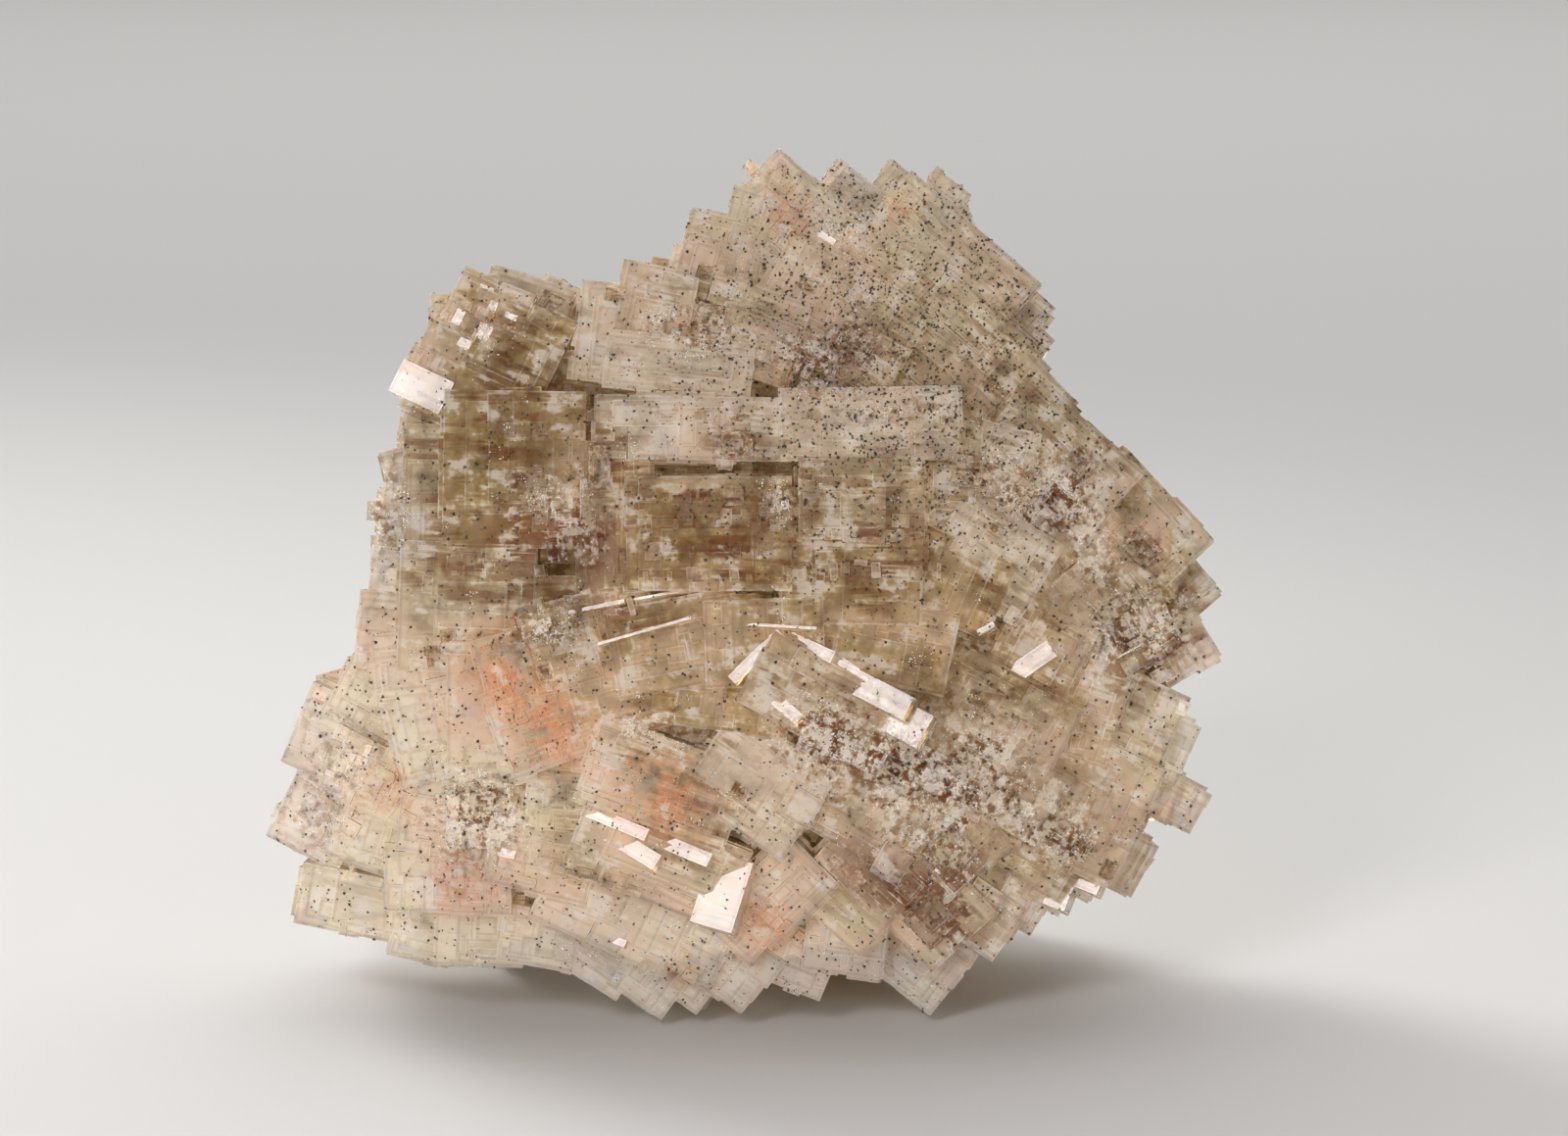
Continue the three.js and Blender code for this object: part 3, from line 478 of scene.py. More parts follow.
@dataclass
class BlockPile:
    """Many square-cornered blocks that are grown together into one skin.

    A block has a middle and half sizes in its own crystal's frame, so one array operation
    lays out all blocks of a kind.
    """

    shape: FaceShape
    own_frost: float = 0.6
    middles: list[np.ndarray] = field(default_factory=list)
    halves: list[np.ndarray] = field(default_factory=list)
    frames: list[np.ndarray] = field(default_factory=list)
    natures: list[np.ndarray] = field(default_factory=list)
    offsets: list[np.ndarray] = field(default_factory=list)

    def add(self, origin: np.ndarray, frame: np.ndarray, low: np.ndarray, high: np.ndarray,
            nature: np.ndarray) -> None:
        """Adds blocks that run between two corners in their own crystal's frame.

        Args:
            origin: Place of each frame on the face plane, shape (n, 3).
            frame: Rotation of each frame, shape (n, 3, 3).
            low: Lowest corner in that frame, shape (n, 3).
            high: Highest corner in that frame, shape (n, 3).
            nature: Rust, pale, frost and seed of each block, shape (n, 4).
        """
        centre = (low + high) / 2
        self.middles.append(origin + np.einsum("nij,nj->ni", frame, centre))
        self.halves.append((high - low) / 2)
        self.frames.append(frame)
        self.natures.append(nature)
        self.offsets.append(centre)

    def add_flush(self, origin: np.ndarray, frame: np.ndarray, half: np.ndarray,
                  deep: np.ndarray | float, nature: np.ndarray) -> None:
        """Adds blocks whose outer face lies at local depth 0.

        Args:
            origin: Middle of each outer face, shape (n, 3).
            frame: Rotation of each block, shape (n, 3, 3).
            half: Half width and height of each block, shape (n, 2).
            deep: How far back the blocks reach, one number or shape (n,).
            nature: Rust, pale, frost and seed of each block, shape (n, 4).
        """
        level = np.zeros(len(origin))
        self.add(origin, frame, np.column_stack([-half, level - deep]),
                 np.column_stack([half, level]), nature)

    def count(self) -> int:
        """Number of blocks in the pile."""
        return sum(len(m) for m in self.middles)

    def objects(self, name: str) -> bpy.types.Collection:
        """Makes one closed mesh for each block.

        A corner is the block's middle plus its frame applied to plus or minus the half sizes.
        Each face keeps its crystal's own plane coordinates, its share of the block's half sizes
        from -1 to 1, those half sizes with the block's own number, and the block's nature. The
        snow and the brown of each corner are read from the clouds at its place.

        Args:
            name: Name of the collection that holds the blocks.

        Returns:
            The collection.
        """
        middle, half = np.concatenate(self.middles), np.concatenate(self.halves)
        frame, nature = np.concatenate(self.frames), np.concatenate(self.natures)
        offset = np.concatenate(self.offsets)
        local = BOX_SIGNS[None] * half[:, None]
        spots = middle[:, None] + np.einsum("nij,nkj->nki", frame, local)
        corners = self.shape.stand_up(spots)
        placed = local + offset[:, None]
        sides = list(zip(BOX_FACES, BOX_AXES))
        uv = np.stack([placed[:, face][..., axes] for face, axes in sides], 1).astype(np.float32)
        share = np.stack([BOX_SIGNS[face][:, axes] for face, axes in sides])
        share = share.astype(np.float32).ravel()
        front = spots[..., 2] > 0.0
        snow, brown = (stained(stain, spots[..., 0], spots[..., 1]) * front
                       for stain in (Stain.SNOW, Stain.RED_BROWN))
        colour = np.repeat(nature[:, None], BOX_FACES.size, axis=1).reshape(-1, 6, 4, 4)
        colour[..., 2] = np.minimum(colour[..., 2] * self.own_frost + snow[:, BOX_FACES], 1.0)
        colour = colour.astype(np.float32).reshape(len(nature), -1)
        own = np.random.default_rng(len(middle)).random((len(middle), 1, 1, 1))
        rim = np.empty((len(middle), 6, 4, 4))
        rim[..., :2] = half[:, BOX_AXES][:, :, None]
        rim[..., 2] = brown[:, BOX_FACES]
        rim[..., 3:] = own
        rim = rim.astype(np.float32).reshape(len(middle), -1)
        pile = bpy.data.collections.new(name)
        rows = BOX_FACES.tolist()
        for k in range(len(middle)):
            mesh = bpy.data.meshes.new(name)
            mesh.from_pydata(corners[k].tolist(), [], rows)
            mesh.uv_layers.new(name="plane").data.foreach_set("uv", uv[k].ravel())
            mesh.uv_layers.new(name="share").data.foreach_set("uv", share)
            edge = mesh.attributes.new("reach", "FLOAT_COLOR", "CORNER")
            edge.data.foreach_set("color", rim[k])
            layer = mesh.attributes.new("nature", "FLOAT_COLOR", "CORNER")
            layer.data.foreach_set("color", colour[k])
            pile.objects.link(bpy.data.objects.new(name, mesh))
        return pile


def island_of(corner_count: int, edges: np.ndarray) -> np.ndarray:
    """Finds which connected island each corner of a mesh belongs to.

    Each corner starts with its own number. Both ends of an edge take the lower number of the two,
    then each corner takes the number of the corner that it points at, until nothing changes.

    Args:
        corner_count: Corners in the mesh.
        edges: Corner numbers of each edge, shape (n, 2).

    Returns:
        The lowest corner number of each corner's island.
    """
    lowest = np.arange(corner_count)
    while True:
        ends = np.minimum(lowest[edges[:, 0]], lowest[edges[:, 1]])
        after = lowest.copy()
        np.minimum.at(after, edges[:, 0], ends)
        np.minimum.at(after, edges[:, 1], ends)
        np.minimum.at(after, lowest[edges[:, 0]], ends)
        np.minimum.at(after, lowest[edges[:, 1]], ends)
        after = after[after]
        if np.array_equal(after, lowest):
            return lowest
        lowest = after


def drop_loose(mesh: bpy.types.Mesh) -> int:
    """Removes every island of a mesh but the largest.

    Args:
        mesh: Mesh that is cleared of loose bits.

    Returns:
        How many islands were removed.
    """
    edges = np.empty(len(mesh.edges) * 2, np.int32)
    mesh.edges.foreach_get("vertices", edges)
    island = island_of(len(mesh.vertices), edges.reshape(-1, 2))
    names, sizes = np.unique(island, return_counts=True)
    loose = np.flatnonzero(island != names[np.argmax(sizes)])
    work = bmesh.new()
    work.from_mesh(mesh)
    work.verts.ensure_lookup_table()
    bmesh.ops.delete(work, geom=[work.verts[i] for i in loose], context="VERTS")
    work.to_mesh(mesh)
    work.free()
    return len(names) - 1


def grown_together(name: str, solids: bpy.types.Collection, cuts: bpy.types.Collection,
                   ground: bpy.types.Object) -> bpy.types.Object:
    """Joins blocks into one skin, hollows the pits out of it and trims the foot flat.

    Args:
        name: Name of the finished piece.
        solids: Blocks that are joined.
        cuts: Blocks that are hollowed out.
        ground: Solid that the foot is trimmed by.

    Returns:
        One closed mesh object at the origin.
    """
    solid_blocks = list(solids.objects)
    first = solid_blocks[0]
    solids.objects.unlink(first)
    bpy.context.scene.collection.objects.link(first)
    steps = (("UNION", "COLLECTION", solids), ("DIFFERENCE", "COLLECTION", cuts),
             ("DIFFERENCE", "OBJECT", ground))
    for operation, kind, other in steps:
        step = first.modifiers.new(operation.lower(), "BOOLEAN")
        step.operation, step.operand_type, step.solver = operation, kind, "MANIFOLD"
        if kind == "COLLECTION":
            step.collection = other
        else:
            step.object = other
    graph = bpy.context.evaluated_depsgraph_get()
    mesh = bpy.data.meshes.new_from_object(first.evaluated_get(graph))
    mesh.name = name
    for spare in [first, ground, *solid_blocks[1:], *cuts.objects]:
        bpy.data.objects.remove(spare)
    for pile in (solids, cuts):
        bpy.data.collections.remove(pile)
    log.info("%s: %d loose bits left out", name, drop_loose(mesh))
    mesh.materials.clear()
    mesh.polygons.foreach_set("use_smooth", np.zeros(len(mesh.polygons), bool))
    mesh.polygons.foreach_set("material_index", np.zeros(len(mesh.polygons), np.int32))
    piece = bpy.data.objects.new(name, mesh)
    bpy.context.scene.collection.objects.link(piece)
    return piece


@dataclass
class FluoriteCluster:
    """The whole crystal mass: listed cubes with their growth steps, ledges and small cubes."""

    shape: FaceShape
    seed: int = 11
    root_depth: float = -6.0
    root_sunk: float = 1.8
    root_reach: float = 0.35
    growth_steps: int = 5
    ledges: int = 3
    small_cubes: int = 4
    mosaic_plates: int = 6
    most_drawn_in: float = 0.46
    step_root: float = 3.0
    cube_root: float = 3.2
    plate_root: float = 2.2
    glint_root: float = 2.4
    glint_proud: float = 0.48
    plates_on_cloud: int = 13
    back_spread: float = 0.9
    back_size: float = 1.45
    back_turn: float = 50.0
    back_every: int = 2
    side_from: float = 0.74
    side_inset: float = 1.8
    side_depth: tuple[float, float] = (-5.0, 3.5)
    side_tilt: float = 32.0
    pit_steps: int = 4
    pit_clearance: float = 4.0
    small_pits: int = 16
    low_rim_up: float = 12.0
    low_rim_pale_and_glow: float = 0.9

    def __post_init__(self) -> None:
        """Reads the listed rows into arrays."""
        rows = np.array([row[:6] for row in CRYSTALS], float)
        self.right, self.up, self.width, self.height, self.turn, self.proud = rows.T
        self.index = np.arange(len(rows))
        self.rng = np.random.default_rng(self.seed)
        tints = np.array([row[6].value for row in CRYSTALS])
        # crystals near the foot are made paler, partly their own tone and partly painted glow
        low_rim = np.clip((self.low_rim_up - self.up) / self.low_rim_up, 0.0, 1.0)
        tints[:, 1] = np.minimum(tints[:, 1] + self.low_rim_pale_and_glow * low_rim, 1.0)
        self.nature = np.column_stack([tints, self.rng.random(len(rows))])

    def _varied(self, nature: np.ndarray, amount: float = 0.1) -> np.ndarray:
        """The same nature with a little of its own in each block."""
        return np.clip(nature + self.rng.uniform(-amount, amount, nature.shape), 0.0, 1.0)

    def _grow(self, pile: BlockPile, origin: np.ndarray, frame: np.ndarray, size: np.ndarray,
              nature: np.ndarray, steps: int, ledges: int, cubes: int) -> None:
        """Adds steps, ledges and small cubes to crystals whose outer face is at local depth 0.

        Each growth step is a plate whose sides draw in from the last one, some hardly at all and
        some by a random share of the size, and which rises by a random height. A ledge stands
        out of one side wall over part of its length. A small cube sits near the edge of the face,
        a few degrees off.

        Args:
            pile: Where the blocks go.
            origin: Middle of each outer face, shape (n, 3).
            frame: Rotation of each crystal, shape (n, 3, 3).
            size: Width and height of each crystal, shape (n, 2).
            nature: Nature of each crystal, shape (n, 4).
            steps: Growth steps on each face.
            ledges: Ledges on each of the four sides.
            cubes: Small cubes on each crystal.
        """
        rng, count = self.rng, len(origin)
        half = size / 2
        narrow = rng.uniform(0.0, 0.012, (count, steps, 4))
        broad = rng.uniform(0.05, 0.26, (count, steps, 4)) * (rng.random((count, steps, 4)) < 0.42)
        draw_in = np.cumsum(narrow + broad, axis=1)
        rise = np.cumsum(rng.uniform(0.03, 0.12, (count, steps)), axis=1)
        for k in range(steps):
            share = np.minimum(draw_in[:, k].reshape(count, 2, 2), self.most_drawn_in)
            low, high = size * share[:, 0] - half, half - size * share[:, 1]
            pile.add(origin, frame, np.column_stack([low, np.full(count, -self.step_root)]),
                     np.column_stack([high, rise[:, k]]), self._varied(nature, 0.05))
        for side in range(4):
            axis, sign = side // 2, 1 - 2 * (side % 2)
            along = 1 - axis
            for _ in range(ledges):
                out = rng.uniform(0.06, 0.5, count)
                start = rng.uniform(-1.0, 0.45, count)
                end = np.minimum(start + rng.uniform(0.25, 1.3, count), 1.0)
                top = -rng.uniform(0.15, 3.2, count)
                low, high = np.zeros((count, 3)), np.zeros((count, 3))
                low[:, along], high[:, along] = start * half[:, along], end * half[:, along]
                reach = sign * (half[:, axis] + out)
                low[:, axis], high[:, axis] = np.minimum(reach, 0), np.maximum(reach, 0)
                low[:, 2], high[:, 2] = top - rng.uniform(0.6, 4.5, count), top
                pile.add(origin, frame, low, high, self._varied(nature))
        for _ in range(cubes):
            around = rng.uniform(0, 2 * np.pi, count)
            square = np.maximum(np.abs(np.cos(around)), np.abs(np.sin(around)))
            rim = rng.uniform(0.55, 1.0, count) / square
            centre = np.column_stack([np.cos(around) * rim, np.sin(around) * rim]) * half
            cube = size.min(axis=1) * rng.uniform(0.1, 0.34, count)
            block = cube[:, None] * rng.uniform(0.7, 1.6, (count, 2)) / 2
            centre = np.clip(centre, -half + block * 0.75, half - block * 0.75)
            top = rng.uniform(-0.9, 0.55, count)
            off = np.radians(rng.normal(0.0, 1.0, (3, count)) * np.array([[4.0], [2.2], [2.2]]))
            own = frame @ turned(off[0], off[1], off[2])
            place = origin + np.einsum("nij,nj->ni", frame, np.column_stack([centre, top]))
            pile.add_flush(place, own, block, self.cube_root, self._varied(nature, 0.15))

    def _mosaic(self, pile: BlockPile, origin: np.ndarray, frame: np.ndarray, size: np.ndarray,
                nature: np.ndarray, plates: int) -> None:
        """Adds thin plates that lie over part of a face, nearly but not quite in its plane.

        A plate's middle and size are random shares of the face, its top rises a little over the
        face, and it is turned and leaned by small bell-curve angles.

        Args:
            pile: Where the blocks go.
            origin: Middle of each outer face, shape (n, 3).
            frame: Rotation of each crystal, shape (n, 3, 3).
            size: Width and height of each crystal, shape (n, 2).
            nature: Nature of each crystal, shape (n, 4).
            plates: Plates on each crystal.
        """
        rng, count = self.rng, len(origin)
        for _ in range(plates):
            part = rng.uniform(0.12, 0.42, (count, 2))
            thin = rng.integers(0, 2, count)
            part[np.arange(count), thin] *= rng.uniform(0.3, 1.0, count)
            half = size * part / 2
            room = np.maximum(size / 2 * 1.03 - half, 0.0)
            centre = rng.uniform(-1.0, 1.0, (count, 2)) * room
            top = rng.uniform(0.03, 0.32, count)
            off = np.radians(rng.normal(0.0, 1.0, (3, count)) * np.array([[2.0], [0.9], [0.9]]))
            own = frame @ turned(off[0], off[1], off[2])
            place = origin + np.einsum("nij,nj->ni", frame, np.column_stack([centre, top]))
            pile.add_flush(place, own, half, self.plate_root, self._varied(nature, 0.12))

    def _face_height(self, right: np.ndarray, up: np.ndarray) -> np.ndarray:
        """Height of the outermost face crystal over each place.

        Each crystal's outer plane is followed to the place, and the highest of the planes whose
        crystal covers the place is taken.

        Args:
            right: Places along the face.
            up: Places up the face, same shape.

        Returns:
            Depths of the face there, or of the dome where no crystal covers the place.
        """
        pitch, yaw = self.shape.tilt(self.right, self.up, self.index)
        frame = turned(-np.radians(self.turn), pitch, yaw)
        outer = self.shape.face_depth(self.right, self.up) + self.proud
        gap = np.stack([right[:, None] - self.right, up[:, None] - self.up], -1)
        normal = frame[:, :, 2]
        height = outer - (gap * normal[None, :, :2]).sum(-1) / normal[None, :, 2]
        full = np.concatenate([gap, (height - outer)[..., None]], -1)
        local = np.einsum("nji,mnj->mni", frame, full)[..., :2]
        inside = (np.abs(local) < np.column_stack([self.width, self.height]) / 2).all(-1)
        best = np.where(inside, height, -np.inf).max(axis=1)
        return np.where(np.isfinite(best), best, self.shape.face_depth(right, up))

    def cloud_plates(self, pile: BlockPile) -> None:
        """Adds small plates over each stained or snowy spot, so that it breaks up into steps.

        A plate falls round the cloud's middle by a bell curve along the cloud's turn, follows
        the slope of the dome and rises a little over the face there.

        Args:
            pile: Where the blocks go.
        """
        rng = self.rng
        rows = cloud_rows(Stain.ORANGE, Stain.RED_BROWN, Stain.SNOW)
        pick = np.repeat(np.arange(len(rows)), self.plates_on_cloud)
        right, up, turn, along, across = rows[pick, :5].T
        count = len(pick)
        steps = rng.normal(0.0, 0.8, (2, count)) * np.array([along, across])
        right, up = slid(right, up, turn, *steps)
        pitch, yaw = self.shape.tilt(right, up, pick)
        off = np.radians(rng.normal(0.0, 1.0, (3, count)) * np.array([[3.0], [1.2], [1.2]]))
        frame = turned(-np.radians(turn) + off[0], pitch + off[1], yaw + off[2])
        outer = self._face_height(right, up) + rng.uniform(0.1, 0.62, count)
        half = rng.uniform(0.18, 0.75, (count, 2))
        natures = np.column_stack([np.zeros(count), rng.uniform(0.1, 0.4, count),
                                   np.zeros(count), rng.random(count)])
        pile.add_flush(np.column_stack([right, up, outer]), frame, half, self.plate_root, natures)

    def glinting_plates(self, pile: BlockPile) -> None:
        """Adds the listed bright plates.

        Each faces halfway between the viewer and the key light, so it mirrors the light.

        Args:
            pile: Where the blocks go.
        """
        right, up, long, wide, turn, parts = np.array(GLINTS, float).T
        number = parts.astype(int)
        pick = np.repeat(np.arange(len(right)), number)
        step = np.concatenate([np.arange(n) - (n - 1) / 2 for n in number])
        piece = long[pick] / number[pick]
        angle = -np.radians(turn[pick])
        right = right[pick] + step * piece * np.cos(angle)
        up = up[pick] + step * piece * np.sin(angle)
        count = len(pick)
        origin = np.column_stack([right, up, self._face_height(right, up) + self.glint_proud])
        mirror = np.zeros((count, 3))
        for far in (VIEW_PLACE, self.shape.laid_back(KEY_PLACE)):
            ray = np.array(far) - origin
            mirror += ray / np.linalg.norm(ray, axis=1)[:, None]
        mirror /= np.linalg.norm(mirror, axis=1)[:, None]
        lean = turned(np.zeros(count), -np.arcsin(mirror[:, 1]),
                      np.arctan2(mirror[:, 0], mirror[:, 2]))
        off = np.radians(self.rng.normal(0.0, 0.6, (3, count)))
        frame = lean @ turned(angle + off[0], off[1], off[2])
        half = np.column_stack([piece * self.rng.uniform(0.5, 0.66, count),
                                wide[pick] * self.rng.uniform(0.3, 0.56, count)])
        nature = np.column_stack([np.zeros(count), np.full(count, 0.45), np.zeros(count),
                                  self.rng.random(count)])
        pile.add_flush(origin, frame, half, self.glint_root, nature)

    def face_crystals(self, pile: BlockPile) -> None:
        """Adds the listed crystals of the face with all their growth.

        Args:
            pile: Where the blocks go.
        """
        pitch, yaw = self.shape.tilt(self.right, self.up, self.index)
        frame = turned(-np.radians(self.turn), pitch, yaw)
        outer = self.shape.face_depth(self.right, self.up) + self.proud
        origin = np.column_stack([self.right, self.up, outer])
        half = np.column_stack([self.width, self.height]) / 2
        pile.add_flush(origin, frame, half, outer - self.root_depth, self.nature)
        self._grow(pile, origin, frame, 2 * half, self.nature, self.growth_steps,
                   self.ledges, self.small_cubes)
        self._mosaic(pile, origin, frame, 2 * half, self.nature, self.mosaic_plates)

    def back_crystals(self, pile: BlockPile) -> None:
        """Adds the larger crystals of the back, looking the other way.

        Args:
            pile: Where the blocks go.
        """
        pick = self.index[:: self.back_every]
        right = self.right[pick] * self.back_spread
        middle = self.shape.middle_up
        up = middle + (self.up[pick] - middle) * self.back_spread
        pitch, yaw = self.shape.tilt(right, up, pick)
        roll = -np.radians(self.turn[pick] + self.back_turn * spread(pick, 4))
        outer = self.shape.back_depth(right, up) + self.proud[pick] + spread(pick, 3)
        facing_back = turned(0.0, 0.0, np.pi)
        frame = turned(roll, -pitch, -yaw) @ facing_back
        half = np.column_stack([self.width, self.height])[pick] * self.back_size / 2
        origin = np.column_stack([right, up, -outer])
        nature = self.nature[pick] * np.array([0.5, 0.7, 0.6, 1.0])
        pile.add_flush(origin, frame, half, outer + 1.0, nature)
        self._grow(pile, origin, frame, 2 * half, nature, 4, 1, 4)

    def side_crystals(self, pile: BlockPile) -> None:
        """Adds the cubes of the side walls, tipped outward, with small cubes on their corners.

        Args:
            pile: Where the blocks go.
        """
        pick = self.index[self.shape.away(self.right, self.up) > self.side_from]
        right, up = self.right[pick], self.up[pick]
        outward = np.column_stack([right, up - self.shape.middle_up])
        outward /= np.linalg.norm(outward, axis=1)[:, None]
        tilt = np.radians(self.side_tilt)
        pitch = tilt * (outward[:, 1] * 0.6 + 0.4 * spread(pick, 7))
        yaw = -tilt * (outward[:, 0] * 0.6 + 0.4 * spread(pick, 8))
        frame = turned(-np.radians(self.turn[pick]), pitch, yaw)
        half = np.repeat((self.width + self.height)[pick, None] / 4, 3, axis=1)
        inset = outward * self.side_inset
        depth = self.side_depth[0] + self.side_depth[1] * spread(pick, 9)
        origin = np.column_stack([right - inset[:, 0], up - inset[:, 1], depth])
        nature = self.nature[pick]
        pile.add(origin, frame, -half, half, nature)
        sunk = origin - frame[:, :, 2] * half[:, :1]
        for turn_over in ((0.0, np.pi / 2, 0.0), (0.0, -np.pi / 2, 0.0),
                          (0.0, 0.0, np.pi / 2), (0.0, 0.0, -np.pi / 2)):
            own = frame @ turned(*turn_over)
            face = sunk + frame[:, :, 2] * half[:, :1] + own[:, :, 2] * half[:, :1]
            self._grow(pile, face, own, 2 * half[:, :2] * 0.96, nature, 2, 0, 2)

    def roots_and_feet(self, pile: BlockPile) -> None:
        """Adds the large blocks that the crystals are rooted in and the ones it stands on.

        Args:
            pile: Where the blocks go.
        """
        rows = np.array(ROOTS, float)
        right, up, width, height, turn = rows.T
        far = self.root_reach
        outer = self.shape.face_depth(right * (1 + far), up + (up - self.shape.middle_up) * far)
        outer = outer - self.root_sunk
        depth = outer + self.shape.back_depth(right, up) - self.root_sunk
        half = np.column_stack([width, height]) / 2
        plain = np.tile([0.1, 0.2, 0.05, 0.5], (len(rows), 1))
        pile.add_flush(np.column_stack([right, up, outer]), turned(-np.radians(turn), 0.0, 0.0),
                       half, depth, self._varied(plain, 0.1))
        rows = np.array(FEET, float)
        right, up, width, height, turn, outer, inner = rows.T
        half = np.column_stack([width, height]) / 2
        plain = np.tile([0.1, 0.4, 0.1, 0.5], (len(rows), 1))
        pile.add_flush(np.column_stack([right, up, outer]), turned(-np.radians(turn), 0.0, 0.0),
                       half, outer - inner, self._varied(plain, 0.1))

    def pits(self, pile: BlockPile) -> None:
        """Adds the stepped hollows: each step is narrower and deeper than the last.

        Args:
            pile: Where the blocks go.
        """
        rows = np.array(PITS, float)
        pick = self.rng.choice(len(self.index), self.small_pits)
        span = self.rng.uniform(-0.4, 0.4, (self.small_pits, 2))
        turn = np.radians(self.turn[pick])
        aside, above = self.width[pick] * span[:, 0], self.height[pick] * span[:, 1]
        along = np.column_stack([np.cos(turn), -np.sin(turn)]) * aside[:, None]
        across = np.column_stack([np.sin(turn), np.cos(turn)]) * above[:, None]
        place = np.column_stack([self.right[pick], self.up[pick]]) + along + across
        size = self.rng.uniform(0.5, 2.0, (self.small_pits, 2))
        small = np.column_stack([place, size, 0.5 + size.min(axis=1) * 0.5, self.turn[pick]])
        rows = np.concatenate([rows, small])
        proud = np.concatenate([np.full(len(PITS), 0.45), self.proud[pick] + 0.2])
        right, up, width, height, depth, turn = rows.T
        level = self.shape.face_depth(right, up) + proud
        pitch, yaw = self.shape.tilt(right, up, np.zeros(len(rows)))
        frame = turned(-np.radians(turn), pitch, yaw)
        origin = np.column_stack([right, up, level])
        frost = self._varied(np.tile([0.45, 0.35, 0.75, 0.5], (len(rows), 1)), 0.25)
        for step in range(self.pit_steps):
            share = (step + self.rng.uniform(0.0, 0.35, len(rows))) / self.pit_steps
            half = np.column_stack([width, height]) * (1 - share)[:, None] / 2
            reach = depth * 1.25 * (step + 1) / self.pit_steps
            shift = self.rng.uniform(-0.12, 0.12, (len(rows), 2)) * (2 * half)
            pile.add(origin, frame, np.column_stack([shift - half, -reach]),
                     np.column_stack([shift + half, np.full(len(rows), self.pit_clearance)]), frost)

    def build(self) -> bpy.types.Object:
        """Grows the cluster.

        Returns:
            The one closed piece, at the origin, in metres.
        """
        solid, hollow = BlockPile(self.shape), BlockPile(self.shape)
        self.roots_and_feet(solid)
        self.face_crystals(solid)
        self.cloud_plates(solid)
        self.glinting_plates(solid)
        self.back_crystals(solid)
        self.side_crystals(solid)
        self.pits(hollow)
        log.info("blocks %d, hollows %d", solid.count(), hollow.count())
        return grown_together("fluorite_crystals", solid.objects("solid"), hollow.objects("hollow"),
                              trimming_ground())


def trimming_ground() -> bpy.types.Object:
    """Makes a solid that fills everything under the floor, for trimming the foot.

    Returns:
        A block whose top is the floor's plane.
    """
    reach = 0.1
    corners = BOX_SIGNS * reach
    corners[:, 2] = np.minimum(corners[:, 2], 0.0)
    mesh = bpy.data.meshes.new("ground_solid")
    mesh.from_pydata(corners.tolist(), [], BOX_FACES.tolist())
    ground = bpy.data.objects.new("ground_solid", mesh)
    bpy.context.scene.collection.objects.link(ground)
    return ground


class GrainForm(Enum):
    """Outline of one grain: its corners on a unit ball and its faces, wound outward."""

    SPLINTER = (((1, 1, 1), (1, -1, -1), (-1, 1, -1), (-1, -1, 1)),
                ((0, 1, 2), (0, 3, 1), (0, 2, 3), (1, 3, 2)))
    OCTAHEDRON = (((1, 0, 0), (-1, 0, 0), (0, 1, 0), (0, -1, 0), (0, 0, 1), (0, 0, -1)),
                  ((0, 2, 4), (2, 1, 4), (1, 3, 4), (3, 0, 4),
                   (2, 0, 5), (1, 2, 5), (3, 1, 5), (0, 3, 5)))


def joined_grains(name: str, form: GrainForm, middles: np.ndarray, sizes: np.ndarray,
                  frames: np.ndarray) -> bpy.types.Object:
    """Makes one mesh of many small closed grains.

    A corner is the grain's middle plus its frame applied to the form's corner times its sizes.

    Args:
        name: Name of the piece.
        form: Outline of each grain.
        middles: Middles in metres, shape (n, 3).
        sizes: Half sizes in metres along the grain's own axes, shape (n, 3).
        frames: Rotations, shape (n, 3, 3).

    Returns:
        The joined piece, at the origin.
    """
    corners, faces = (np.array(part, float) for part in form.value)
    placed = middles[:, None] + np.einsum("nij,nkj->nki", frames, corners[None] * sizes[:, None])
    rows = faces.astype(int)[None] + (np.arange(len(middles)) * len(corners))[:, None, None]
    mesh = bpy.data.meshes.new(name)
    mesh.vertices.add(placed.size // 3)
    mesh.vertices.foreach_set("co", placed.astype(np.float32).ravel())
    mesh.loops.add(rows.size)
    mesh.loops.foreach_set("vertex_index", rows.ravel().astype(np.int32))
    mesh.polygons.add(rows.size // 3)
    mesh.polygons.foreach_set("loop_start", np.arange(0, rows.size, 3, dtype=np.int32))
    mesh.update(calc_edges=True)
    piece = bpy.data.objects.new(name, mesh)
    bpy.context.scene.collection.objects.link(piece)
    return piece


